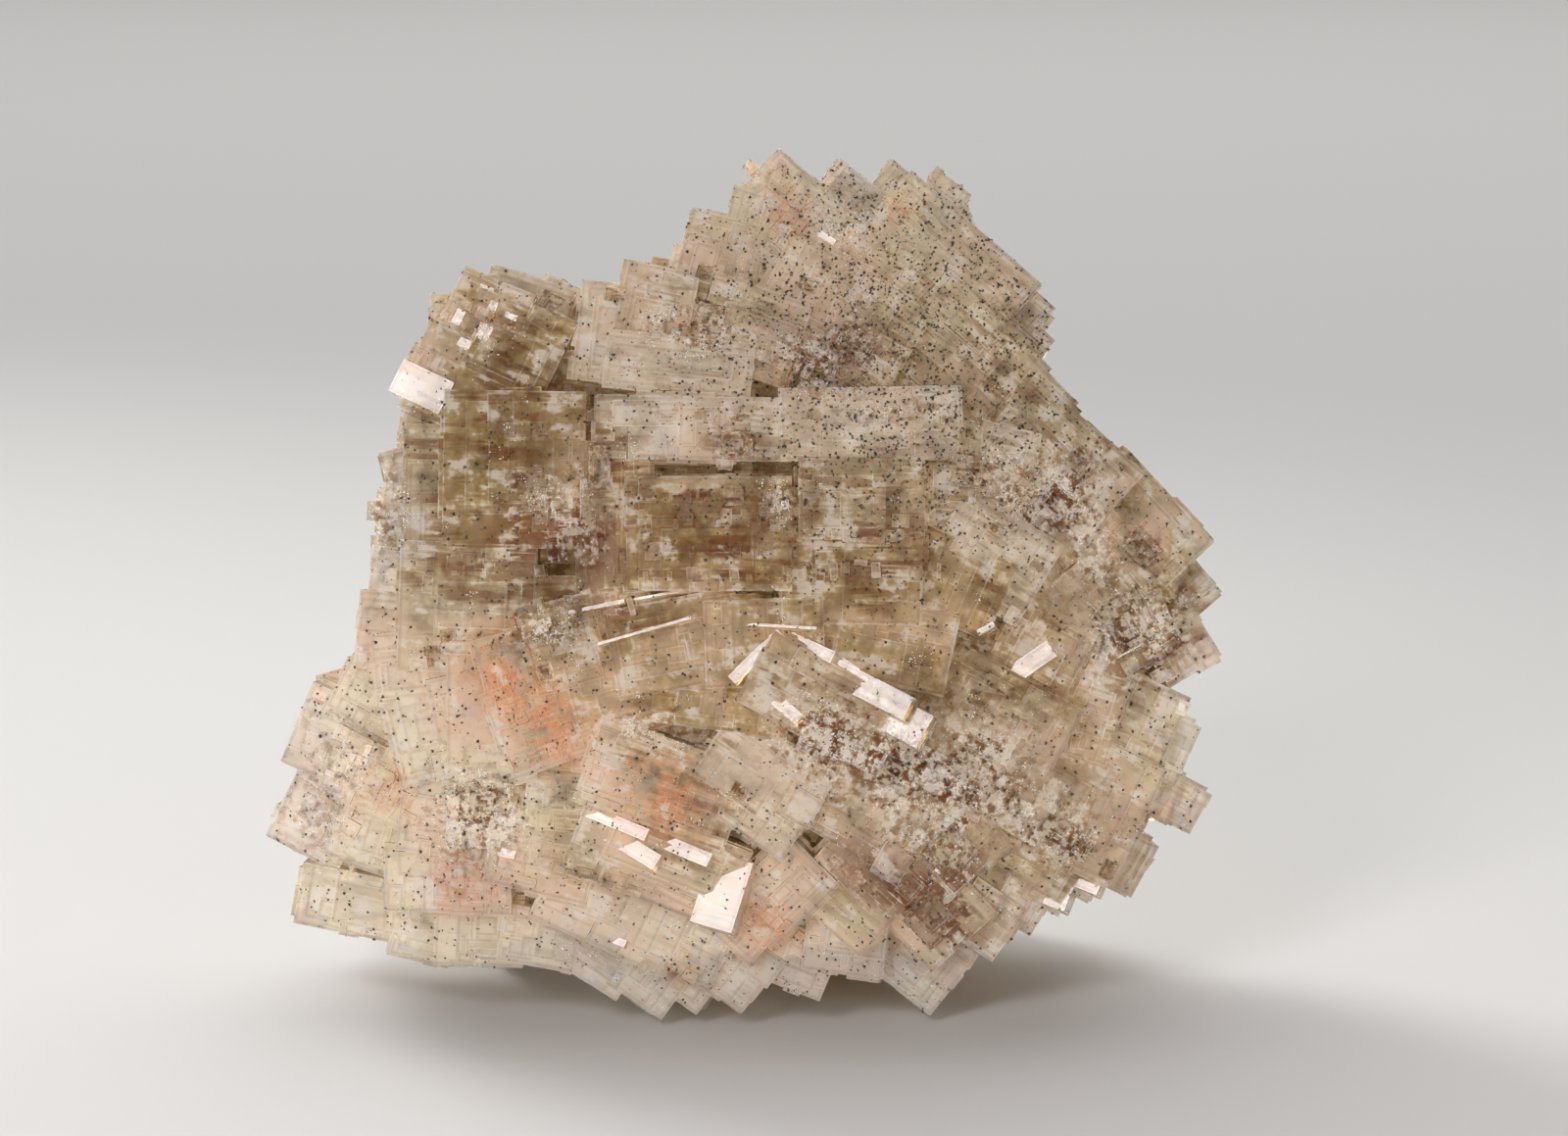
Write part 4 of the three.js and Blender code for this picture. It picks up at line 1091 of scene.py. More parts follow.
@dataclass
class Host:
    """The finished crystal mass as a place to put grains in or on."""

    piece: bpy.types.Object

    def __post_init__(self) -> None:
        """Reads the skin's triangles, their areas and normals."""
        mesh = self.piece.data
        mesh.calc_loop_triangles()
        count = len(mesh.loop_triangles)
        corners = np.empty(len(mesh.vertices) * 3, np.float32)
        mesh.vertices.foreach_get("co", corners)
        rows = np.empty(count * 3, np.int32)
        mesh.loop_triangles.foreach_get("vertices", rows)
        self.corners = corners.reshape(-1, 3).astype(float)
        self.rows = rows.reshape(-1, 3)
        a, b, c = (self.corners[self.rows[:, k]] for k in range(3))
        cross = np.cross(b - a, c - a)
        self.area = np.linalg.norm(cross, axis=1) / 2
        self.normal = cross / np.maximum(self.area[:, None] * 2, 1e-18)
        self.tree = BVHTree.FromPolygons(self.corners.tolist(), self.rows.tolist())

    def edge_at(self, points: np.ndarray) -> np.ndarray:
        """Direction of the shortest edge of the skin's triangle next to each point.

        Args:
            points: Places in metres, shape (n, 3).

        Returns:
            Unit directions, shape (n, 3).
        """
        rows = self.rows[[self.tree.find_nearest(point)[2] for point in points.tolist()]]
        sides = self.corners[rows] - self.corners[np.roll(rows, 1, axis=1)]
        long = np.linalg.norm(sides, axis=2)
        shortest = (np.arange(len(rows)), np.argmin(long, axis=1))
        return sides[shortest] / np.maximum(long[shortest], 1e-9)[:, None]

    def on_skin(self, rng: np.random.Generator, count: int, weight: np.ndarray) -> tuple:
        """Picks places on the skin, by area times a weight.

        Args:
            rng: Random source.
            count: How many places.
            weight: Weight of each triangle.

        Returns:
            Places and normals, both of shape (count, 3).
        """
        share = self.area * weight
        pick = rng.choice(len(share), count, p=share / share.sum())
        first, second = rng.random(count), rng.random(count)
        over = first + second > 1
        first[over], second[over] = 1 - first[over], 1 - second[over]
        a, b, c = (self.corners[self.rows[pick, k]] for k in range(3))
        return a + (b - a) * first[:, None] + (c - a) * second[:, None], self.normal[pick]

    def sealed(self, points: np.ndarray, cover: float) -> np.ndarray:
        """Tells which points lie inside the crystal, at least a cover's depth under its skin.

        Args:
            points: Places in metres, shape (n, 3).
            cover: Least depth under the skin in metres.

        Returns:
            True for each sealed point.
        """
        def deep(point: np.ndarray) -> bool:
            """True where the nearest skin is far enough and faces away from the point."""
            spot, normal, _, gap = self.tree.find_nearest(point.tolist())
            return gap > cover and (Vector(point.tolist()) - spot).dot(normal) < 0
        return np.fromiter(map(deep, points), bool, len(points))


@dataclass
class Flecks:
    """Thin flecks in or close under the skin, gathered in clusters round the listed clouds."""

    shape: FaceShape
    host: Host
    name: str
    stain: Stain
    seed: int
    count: int
    clusters: int
    stray: float
    size: tuple[float, float]
    sink: tuple[float, float]
    cluster_reach: tuple[float, float] = (0.15, 0.9)
    slender: tuple[float, float] = (0.3, 1.0)
    thickness: float = 0.022

    def _snapped(self, points: np.ndarray) -> tuple[np.ndarray, np.ndarray]:
        """The nearest places on the skin, and the normals there."""
        found = [self.host.tree.find_nearest(point)[:2] for point in points.tolist()]
        return np.array([f[0] for f in found]), np.array([f[1] for f in found])

    def build(self) -> bpy.types.Object:
        """Scatters the flecks.

        A cluster's middle falls round a cloud's middle by a bell curve along the cloud's own
        turn, or anywhere on the skin. Its flecks fall round it by a bell curve, are brought to
        the nearest skin, lie flat in it along its edges and sink under it by a random depth.

        Returns:
            The joined flecks.
        """
        rng = np.random.default_rng(self.seed)
        rows = cloud_rows(self.stain)
        pick = rng.choice(len(rows), self.clusters, p=rows[:, 5] / rows[:, 5].sum())
        right, up, turn, along, across = rows[pick, :5].T
        steps = rng.normal(0.0, 0.85, (2, self.clusters)) * np.array([along, across])
        right, up = slid(right, up, turn, *steps)
        lifted = self.shape.face_depth(right, up) + 2.5
        middles, _ = self._snapped(self.shape.stand_up(np.column_stack([right, up, lifted])))
        facing = 0.1 + np.clip(-self.host.normal[:, 1], 0.0, 1.0)
        strays, _ = self.host.on_skin(rng, int(self.clusters * self.stray), facing)
        middles = np.concatenate([middles, strays])
        along_edge = self.host.edge_at(middles)
        reach = rng.uniform(*self.cluster_reach, len(middles)) * MM
        share = reach / reach.sum()
        owner = rng.choice(len(middles), self.count, p=share)
        loose = middles[owner] + rng.normal(0.0, 1.0, (self.count, 3)) * reach[owner, None]
        spots, normals = self._snapped(loose)
        spots = spots - normals * rng.uniform(*self.sink, self.count)[:, None] * MM
        count = len(spots)
        grain = np.where(rng.random(count)[:, None] < 0.5, along_edge[owner], np.cross(
            normals, along_edge[owner])) + rng.normal(0.0, 0.12, (count, 3))
        side = np.cross(normals, np.cross(grain, normals) + 1e-9)
        side /= np.linalg.norm(side, axis=1)[:, None]
        frames = np.stack([side, np.cross(normals, side), normals], axis=2)
        wide = self.size[0] + (self.size[1] - self.size[0]) * rng.random(count) ** 2.0
        sizes = np.column_stack([wide, wide * rng.uniform(*self.slender, count),
                                 np.full(count, self.thickness)]) * MM
        return joined_grains(self.name, GrainForm.OCTAHEDRON, spots, sizes, frames)


@dataclass
class MilkyVeils:
    """Veils of fine pale flakes, each lying in a plane of one of the face crystals."""

    shape: FaceShape
    host: Host
    seed: int = 31
    veils: int = 200
    flakes: int = 9000
    size: tuple[float, float] = (0.06, 0.19)

    def build(self) -> bpy.types.Object:
        """Scatters flakes over planes that lie under the crystals' faces.

        A veil is a plane with a random middle on one crystal, a random depth and a small tilt.
        Its flakes fall on it by a bell curve that is long one way and narrow the other.

        Returns:
            The joined flakes.
        """
        rng = np.random.default_rng(self.seed)
        rows = np.array([row[:5] for row in CRYSTALS], float)
        pale = np.array([row[6].value[1] + row[6].value[2] for row in CRYSTALS])
        owner = rng.choice(len(rows), self.veils, p=(0.25 + pale) / (0.25 + pale).sum())
        right, up, width, height, turn = rows[owner].T
        reach = np.column_stack([width, height]) * rng.uniform(0.06, 0.45, (self.veils, 2))
        thin = rng.integers(0, 2, self.veils)
        reach[np.arange(self.veils), thin] *= rng.uniform(0.15, 0.9, self.veils)
        shift = np.column_stack([width, height]) * rng.uniform(-0.4, 0.4, (self.veils, 2))
        sink = 0.6 + rng.gamma(1.6, 1.3, self.veils)
        lean = rng.normal(0.0, 0.14, (self.veils, 2))
        pick = rng.integers(0, self.veils, self.flakes)
        bell = rng.normal(0.0, 1.0, (self.flakes, 2)) * 0.6 * reach[pick] + shift[pick]
        right, up = slid(right[pick], up[pick], turn[pick], *bell.T)
        depth = self.shape.face_depth(right, up) - sink[pick]
        depth = depth + (bell * lean[pick]).sum(axis=1) + rng.normal(0.0, 0.08, self.flakes)
        points = self.shape.stand_up(np.column_stack([right, up, depth]))
        points = points[self.host.sealed(points, 0.1 * MM)]
        count = len(points)
        size = rng.uniform(*self.size, count)[:, None] * np.array([[1.0, 1.0, 0.3]]) * MM
        frames = turned(*rng.uniform(-np.pi, np.pi, (3, count)))
        return joined_grains("milky_veils", GrainForm.SPLINTER, points, size, frames)


@dataclass
class DarkSpecks:
    """Fine black grains sitting in the skin, thickest at the upper right of the face."""

    host: Host
    seed: int = 41
    count: int = 15000
    size: tuple[float, float] = (0.06, 0.19)
    thick_at: tuple[float, float] = (0.014, 0.058)
    thick_reach: float = 0.014

    def build(self) -> bpy.types.Object:
        """Sets the specks by skin area, more where the face looks out and near the thick spot.

        Returns:
            The joined specks.
        """
        rng = np.random.default_rng(self.seed)
        middle = self.host.corners[self.host.rows].mean(axis=1)
        off = np.hypot(middle[:, 0] - self.thick_at[0], middle[:, 2] - self.thick_at[1])
        facing = np.clip(-self.host.normal[:, 1], 0.0, 1.0)
        near = np.exp(-((off / self.thick_reach) ** 2))
        weight = 0.1 + facing**2 * (0.4 + 3.0 * near)
        places, normals = self.host.on_skin(rng, self.count, weight)
        radius = self.size[0] + (self.size[1] - self.size[0]) * rng.random(self.count) ** 1.8
        sizes = radius[:, None] * rng.uniform(0.75, 1.25, (self.count, 3)) * MM
        places = places - normals * radius[:, None] * 0.35 * MM
        frames = turned(*rng.uniform(-np.pi, np.pi, (3, self.count)))
        return joined_grains("dark_specks", GrainForm.OCTAHEDRON, places, sizes, frames)


@dataclass
class FrostGrains:
    """Small bright crystals that line the pits and dust the snowy spots."""

    shape: FaceShape
    host: Host
    seed: int = 53
    count: int = 4200
    size: tuple[float, float] = (0.03, 0.11)
    pit_reach: float = 0.5
    snow_reach: float = 0.9
    elsewhere: float = 0.012

    def build(self) -> bpy.types.Object:
        """Sets the grains on the skin near the pits and the snowy spots.

        Returns:
            The joined grains.
        """
        rng = np.random.default_rng(self.seed)
        pits = np.array(PITS, float)
        pits = np.column_stack([pits[:, :2], self.pit_reach * pits[:, 2:4].max(axis=1)])
        snowy = cloud_rows(Stain.SNOW)
        dusted = np.column_stack([snowy[:, :2], self.snow_reach * (snowy[:, 3] + snowy[:, 4])])
        spots = np.concatenate([pits, dusted])
        depth = self.shape.face_depth(spots[:, 0], spots[:, 1])
        homes = self.shape.stand_up(np.column_stack([spots[:, :2], depth]))
        middle = self.host.corners[self.host.rows].mean(axis=1)
        gap = np.linalg.norm(middle[:, None] - homes[None], axis=2) / (spots[:, 2] * MM)
        weight = np.exp(-(gap**2)).sum(axis=1) + self.elsewhere * (self.host.normal[:, 1] < -0.3)
        places, normals = self.host.on_skin(rng, self.count, weight)
        radius = self.size[0] + (self.size[1] - self.size[0]) * rng.random(self.count) ** 2.0
        sizes = radius[:, None] * rng.uniform(0.7, 1.3, (self.count, 3)) * MM
        places = places - normals * radius[:, None] * 0.3 * MM
        frames = turned(*rng.uniform(-np.pi, np.pi, (3, self.count)))
        return joined_grains("frost_grains", GrainForm.OCTAHEDRON, places, sizes, frames)


class Nodes:
    """Small helper that adds nodes to a tree and links them by name."""

    def __init__(self, tree: bpy.types.NodeTree) -> None:
        """Keeps the tree and empties it."""
        self.tree = tree
        tree.nodes.clear()

    def add(self, kind: str, inputs: dict | None = None, **settings: object) -> bpy.types.Node:
        """Adds one node.

        Args:
            kind: Node type, such as ShaderNodeMath.
            inputs: Socket name or number to a value or to another node's output.
            settings: Node properties.

        Returns:
            The node.
        """
        node = self.tree.nodes.new(kind)
        for key, value in settings.items():
            setattr(node, key, value)
        for key, value in (inputs or {}).items():
            socket = node.inputs[key]
            if isinstance(value, bpy.types.NodeSocket):
                self.tree.links.new(value, socket)
            else:
                socket.default_value = value
        return node

    def math(self, operation: str, a: object, b: object = 0.0,
             clamp: bool = False) -> bpy.types.NodeSocket:
        """Adds a Math node.

        Args:
            operation: Such as ADD.
            a: First value, a number or a node's output.
            b: Second value.
            clamp: Whether the result is held between 0 and 1.

        Returns:
            The result.
        """
        node = self.add("ShaderNodeMath", {0: a, 1: b}, operation=operation, use_clamp=clamp)
        return node.outputs[0]

    def mix(self, share: object, a: object, b: object, blend: str = "MIX") -> bpy.types.NodeSocket:
        """Adds a colour Mix node.

        Args:
            share: Share of the second colour.
            a: First colour.
            b: Second colour.
            blend: How the second is laid over the first.

        Returns:
            The mixed colour.
        """
        node = self.add("ShaderNodeMix", data_type="RGBA", blend_type=blend)
        for number, value in ((0, share), (6, a), (7, b)):
            if isinstance(value, bpy.types.NodeSocket):
                self.tree.links.new(value, node.inputs[number])
            else:
                node.inputs[number].default_value = value
        return node.outputs[2]

    def ramp(self, value: object, low: float, high: float,
             top: float = 1.0) -> bpy.types.NodeSocket:
        """Adds a smooth step that takes low to 0 and high to the top.

        Args:
            value: What is measured.
            low: Where the step starts.
            high: Where it ends, which may be lower than low.
            top: Its value there.

        Returns:
            The step's value.
        """
        node = self.add("ShaderNodeMapRange", {"Value": value, "From Min": low, "From Max": high,
                                               "To Max": top}, interpolation_type="SMOOTHSTEP")
        return node.outputs["Result"]

    def times(self, *values: object, clamp: bool = False) -> bpy.types.NodeSocket:
        """Multiplies values by Math nodes, the first two first.

        Args:
            values: Numbers or nodes' outputs.
            clamp: Whether each product is held between 0 and 1.

        Returns:
            The product.
        """
        total = values[0]
        for value in values[1:]:
            total = self.math("MULTIPLY", total, value, clamp)
        return total

    def rest(self, value: object) -> bpy.types.NodeSocket:
        """Adds a Math node that gives what is left of 1, and returns it."""
        return self.math("SUBTRACT", 1.0, value)

    def noise(self, place: object, scale: float, detail: float = 2.0,
              roughness: float = 0.5) -> bpy.types.NodeSocket:
        """Adds a noise texture and returns its value, 0 to 1."""
        return self.add("ShaderNodeTexNoise", {"Vector": place, "Scale": scale, "Detail": detail,
                                               "Roughness": roughness}).outputs["Fac"]

    def place(self) -> bpy.types.NodeSocket:
        """Adds nodes that give the shaded place in the object, in millimetres."""
        metres = self.add("ShaderNodeTexCoord").outputs["Object"]
        return self.add("ShaderNodeVectorMath", {0: metres, 1: (1.0 / MM,) * 3},
                        operation="MULTIPLY").outputs[0]

    def attribute(self, name: str) -> tuple:
        """Adds nodes that read a colour attribute.

        Args:
            name: Name of the attribute.

        Returns:
            Its red, green, blue and alpha.
        """
        node = self.add("ShaderNodeAttribute", attribute_name=name, attribute_type="GEOMETRY")
        parts = self.add("ShaderNodeSeparateColor", {0: node.outputs["Color"]})
        return (*parts.outputs, node.outputs["Alpha"])


def edge_light_and_streak_group() -> bpy.types.NodeTree:
    """Shader group: painted light along one block's own edges, and streaks over its crystal.

    The distance to the nearest edge is the smaller of (1 - |share|) times the half size, both
    ways. Rim is 1 at the very edge and is a painted highlight. Crease is a thin band beside it
    and is painted shade. Border falls off over a millimetre from it and is a painted glow.
    Streaks is soft bands of 0 to 1 that run one way over the crystal's plane.

    Returns:
        The group.
    """
    tree = bpy.data.node_groups.new("edge_light_and_streaks", "ShaderNodeTree")
    face = tree.interface
    for name in ("Plane", "Share"):
        face.new_socket(name, in_out="INPUT", socket_type="NodeSocketVector")
    for name in ("Half Width", "Half Height", "Seed"):
        face.new_socket(name, in_out="INPUT", socket_type="NodeSocketFloat")
    for name in ("Rim", "Crease", "Border", "Streaks"):
        face.new_socket(name, in_out="OUTPUT", socket_type="NodeSocketFloat")
    make = Nodes(tree)
    given = make.add("NodeGroupInput")
    share = make.add("ShaderNodeSeparateXYZ", {0: given.outputs["Share"]})
    room = [make.times(make.rest(make.math("ABSOLUTE", part)), given.outputs[half])
            for part, half in zip(share.outputs, ("Half Width", "Half Height"))]
    gap = make.math("MINIMUM", room[0], room[1])
    # painted highlight at the very edge, painted shade just inside it, painted glow over a
    # millimetre
    rim = make.ramp(gap, 0.13, 0.03)
    painted_edge_shade = make.times(make.ramp(gap, 0.42, 0.22), make.rest(rim))
    painted_edge_glow = make.ramp(gap, 1.3, 0.1)
    parts = make.add("ShaderNodeSeparateXYZ", {0: given.outputs["Plane"]}).outputs
    stretched = make.add("ShaderNodeCombineXYZ", {
        0: make.times(parts[0], 0.16), 1: make.times(parts[1], 1.1),
        2: make.times(given.outputs["Seed"], 1.2)}).outputs[0]
    bands = make.noise(stretched, 1.0, 2.0, 0.65)
    make.add("NodeGroupOutput", {"Rim": rim, "Crease": painted_edge_shade, "Border": painted_edge_glow, "Streaks": bands})
    return tree


def stain_group(name: str, shape: FaceShape, stain: Stain) -> bpy.types.NodeTree:
    """Shader group: soft spots round the middles of one kind of cloud, orange stains or painted
    shade.

    A stain falls from 1 at a cloud's middle to 0 at its reach, by a smooth step of the distance,
    and the stains add up.

    Args:
        name: Name of the group.
        shape: Shape that gives the face's place.
        stain: Which clouds are read.

    Returns:
        The group, with input Place in millimetres and output Stain.
    """
    sunk, widen, strongest = 0.6, 1.35, 1.1
    tree = bpy.data.node_groups.new(name, "ShaderNodeTree")
    tree.interface.new_socket("Place", in_out="INPUT", socket_type="NodeSocketVector")
    tree.interface.new_socket("Stain", in_out="OUTPUT", socket_type="NodeSocketFloat")
    make = Nodes(tree)
    given = make.add("NodeGroupInput").outputs[0]
    rows = cloud_rows(stain)
    depth = shape.face_depth(rows[:, 0], rows[:, 1]) - sunk
    middles = shape.stand_up(np.column_stack([rows[:, :2], depth])) / MM
    total = None
    for middle, (_, _, _, along, across, share) in zip(middles, rows):
        off = make.add("ShaderNodeVectorMath", {0: given, 1: tuple(middle)},
                       operation="DISTANCE").outputs["Value"]
        reach = widen * (along + across)
        part = make.ramp(off, reach, 0.0, min(share, strongest))
        total = part if total is None else make.math("ADD", total, part)
    make.add("NodeGroupOutput", {"Stain": total})
    return tree


@dataclass(frozen=True)
class CrystalFinish:
    """See-through fluorite: olive and tan inside, paler and pinker at the rim with painted glow,
    glassy faces.
    """

    shape: FaceShape
    olive: tuple = (0.24, 0.165, 0.045, 1.0)
    tan: tuple = (0.60, 0.43, 0.19, 1.0)
    brown: tuple = (0.17, 0.05, 0.014, 1.0)
    cream: tuple = (0.96, 0.86, 0.62, 1.0)
    pink: tuple = (0.97, 0.73, 0.57, 1.0)
    orange: tuple = (0.86, 0.36, 0.17, 1.0)
    white: tuple = (0.97, 0.94, 0.88, 1.0)
    see_through: float = 0.6
    refraction: float = 1.434
    glow_reach: tuple = (1.0, 0.72, 0.48)
    glow_scale: float = 0.0024
    absorbed: tuple = (0.82, 0.68, 0.38, 1.0)
    absorption: float = 45.0
    less_middle: tuple = (-5.0, 0.0, -43.0)
    middle_reach: float = 39.0
    foot: tuple = (15.0, 4.0)
    top: tuple = (52.0, 72.0)

    def _pale_share_and_glow(self, make: Nodes, spot: object, cloud: object, raised: tuple) -> object:
        """Adds the share of the pale outer tone, partly the crystal's own paler rim and partly
        painted glow.

        It is high away from the middle of the face, at the foot and the top and where the cloud
        noise is high, and what is raised adds to it.

        Args:
            make: Where the nodes go.
            spot: Place in millimetres.
            cloud: The cloud noise.
            raised: Values that are added, of pale crystals and of the painted glow along their
                borders.

        Returns:
            The share.
        """
        off = make.add("ShaderNodeVectorMath", {0: spot, 1: self.less_middle}, operation="ADD")
        far = make.add("ShaderNodeVectorMath", {0: off.outputs[0]}, operation="LENGTH")
        away = make.math("DIVIDE", far.outputs["Value"], self.middle_reach)
        outer = make.ramp(make.math("ADD", away, make.times(cloud, 0.6)), 1.02, 1.34)
        bright = make.math("ADD", make.times(outer, 0.9), raised[0])
        bright = make.math("ADD", bright, raised[1], clamp=True)
        # the foot and the top get more of the pale tone: partly their own paler tone, partly
        # painted glow
        up = make.add("ShaderNodeSeparateXYZ", {0: spot}).outputs[2]
        ends = make.math("ADD", make.times(make.ramp(up, *self.foot), 0.8),
                         make.times(make.ramp(up, *self.top), 0.6))
        bright = make.math("ADD", bright, make.times(make.ramp(cloud, 0.52, 0.66), 0.25))
        return make.math("ADD", bright, ends, clamp=True)

    def material(self) -> bpy.types.Material:
        """Builds the material.

        The body goes from olive and tan in the middle to cream and pink outside, which is partly
        the crystal's own tone and partly painted glow; spots of painted shade darken parts of it.
        Brown streaks, grime and stains, orange stains, veils, painted shade beside each block edge,
        a painted highlight on each edge and frost lie over it in turn.

        Returns:
            A transmitting, softly glowing Principled surface with plain absorption inside.
        """
        made = bpy.data.materials.new("fluorite")
        made.use_nodes = True
        make = Nodes(made.node_tree)
        spot = make.place()
        _, pale, frosty, seed = make.attribute("nature")
        half_width, half_height, brown, own = make.attribute("reach")
        plane, share = (make.add("ShaderNodeUVMap", uv_map=name).outputs[0]
                        for name in ("plane", "share"))
        # growth carries each block's painted edge light (highlight, shade and glow) and its real
        # streaks
        growth = make.add("ShaderNodeGroup", {
            "Plane": plane, "Share": share, "Half Width": half_width, "Half Height": half_height,
            "Seed": seed}, node_tree=edge_light_and_streak_group()).outputs
        streaks = growth["Streaks"]
        # the orange clouds are real stains; the second group is painted shade that darkens parts of
        # the face
        warm, painted_shade_sum = (make.add("ShaderNodeGroup", {"Place": spot}, node_tree=stain_group(
            f"{stain.value}_stain", self.shape, stain)).outputs[0]
            for stain in (Stain.ORANGE, Stain.DUSK))
        dusk = make.times(painted_shade_sum, 1.0, clamp=True)
        cloud = make.noise(spot, 0.12, 2.0, 0.6)
        mottle = make.noise(spot, 1.3, 2.0, 0.7)
        wisps = make.noise(spot, 0.36, 3.0, 0.7)

        # painted glow: the pale share is raised at the rim, foot and top and along each block's
        # border
        bright = self._pale_share_and_glow(make, spot, cloud, (make.times(pale, 0.55),
                                                  make.times(growth["Border"], 0.22)))
        # painted shade: the shade spots take away part of the pale share
        bright = make.times(bright, make.rest(make.times(dusk, 0.6)))
        inner_tone = make.mix(make.ramp(wisps, 0.4, 0.58), self.olive, self.tan)
        outer_tone = make.mix(make.ramp(cloud, 0.4, 0.6), self.cream, self.pink)
        body = make.mix(bright, inner_tone, outer_tone)
        # painted shade pulls the body towards olive
        body = make.mix(make.times(dusk, 0.45), body, self.olive)
        body = make.mix(make.times(pale, 0.5), body, self.white)
        body = make.mix(1.0, body, make.math("ADD", 0.9, make.times(own, 0.15)), "MULTIPLY")

        band = make.times(make.ramp(streaks, 0.5, 0.62), make.ramp(cloud, 0.6, 0.44),
                          make.rest(make.times(bright, 0.8)))
        grime = make.times(make.ramp(wisps, 0.46, 0.36), make.rest(bright),
                           make.ramp(cloud, 0.62, 0.4))
        grainy = make.ramp(make.math("ADD", make.times(wisps, 0.6), make.times(mottle, 0.4)),
                           0.36, 0.48)
        rusted = make.times(make.times(brown, 1.3, clamp=True), grainy)
        glowing = make.times(make.times(warm, 0.85, clamp=True), make.ramp(wisps, 0.34, 0.52))
        against = make.times(make.math("SUBTRACT", streaks, 0.5), -0.5)
        veil = make.times(make.ramp(make.math("ADD", wisps, against), 0.53, 0.64), 0.7)
        # painted highlight: a thin white line at each block's edge, broken up by the wisps
        rim = make.times(growth["Rim"], make.ramp(wisps, 0.35, 0.85))
        hollow = make.times(frosty, make.ramp(mottle, 0.46, 0.38))
        snow = make.times(frosty, make.times(make.ramp(mottle, 0.42, 0.56), 0.85))
        # the brown beside each edge (Crease) is painted shade and the white at each edge is a
        # painted highlight
        for amount, tone in ((make.times(band, 0.8), self.brown),
                             (make.times(grime, 0.6), self.brown), (rusted, self.brown),
                             (glowing, self.orange), (veil, self.white),
                             (make.times(growth["Crease"], 0.2), self.brown),
                             (rim, self.white), (hollow, self.brown), (snow, self.white)):
            body = make.mix(amount, body, tone)

        rough = make.math("ADD", 0.03, make.times(make.ramp(mottle, 0.46, 0.62), 0.16))
        rough = make.math("ADD", rough, make.times(snow, 0.3), clamp=True)
        surface = make.add("ShaderNodeBsdfPrincipled", {
            "Base Color": body, "Roughness": rough, "IOR": self.refraction, "Metallic": 0.0,
            "Subsurface Weight": 1.0, "Subsurface Radius": self.glow_reach,
            "Subsurface Scale": self.glow_scale, "Transmission Weight": self.see_through})
        surface.subsurface_method = "BURLEY"
        inside = make.add("ShaderNodeVolumeAbsorption", {"Color": self.absorbed,
                                                         "Density": self.absorption})
        make.add("ShaderNodeOutputMaterial", {"Surface": surface.outputs[0],
                                              "Volume": inside.outputs[0]})
        return made


@dataclass(frozen=True)
class GrainFinish:
    """A finish for grains: two tones mixed by a fine noise, with its own gloss."""

    name: str
    low: tuple
    high: tuple
    rough: float
    see_through: float = 0.0
    scale: float = 0.5

    def material(self) -> bpy.types.Material:
        """Builds the material.

        Returns:
            A Principled surface whose colour and roughness follow a noise in the object's place.
        """
        made = bpy.data.materials.new(self.name)
        made.use_nodes = True
        make = Nodes(made.node_tree)
        share = make.ramp(make.noise(make.place(), self.scale), 0.35, 0.65)
        rough = make.math("ADD", self.rough, make.times(share, 0.15))
        surface = make.add("ShaderNodeBsdfPrincipled", {
            "Base Color": make.mix(share, self.low, self.high), "Roughness": rough,
            "Transmission Weight": self.see_through, "IOR": 1.45})
        make.add("ShaderNodeOutputMaterial", {"Surface": surface.outputs[0]})
        return made


ORANGE_RUST = GrainFinish("orange_rust", (0.80, 0.20, 0.05, 1.0), (0.90, 0.42, 0.20, 1.0), 0.6)
BROWN_RUST = GrainFinish("brown_rust", (0.10, 0.025, 0.008, 1.0), (0.38, 0.11, 0.03, 1.0), 0.6)
SNOW_WHITE = GrainFinish("snow_white", (0.84, 0.80, 0.70, 1.0), (0.96, 0.95, 0.92, 1.0), 0.22)
MILK = GrainFinish("milk", (0.86, 0.80, 0.68, 1.0), (0.95, 0.93, 0.88, 1.0), 0.4)
BLACK_GRAIN = GrainFinish("black_grain", (0.012, 0.010, 0.008, 1.0), (0.06, 0.04, 0.025, 1.0),
                          0.3, scale=3.0)
FROST = GrainFinish("frost", (0.90, 0.86, 0.78, 1.0), (0.97, 0.96, 0.94, 1.0), 0.08, 0.3)


@dataclass(frozen=True)
class FloorFinish:
    """Plain pale matt floor."""

    colour: tuple = (0.7, 0.69, 0.675, 1.0)
    rough: float = 0.9

    def material(self) -> bpy.types.Material:
        """Builds the material.

        Returns:
            A matt Principled surface.
        """
        made = bpy.data.materials.new("floor")
        made.use_nodes = True
        make = Nodes(made.node_tree)
        surface = make.add("ShaderNodeBsdfPrincipled", {"Base Color": self.colour,
                                                        "Roughness": self.rough})
        make.add("ShaderNodeOutputMaterial", {"Surface": surface.outputs[0]})
        return made


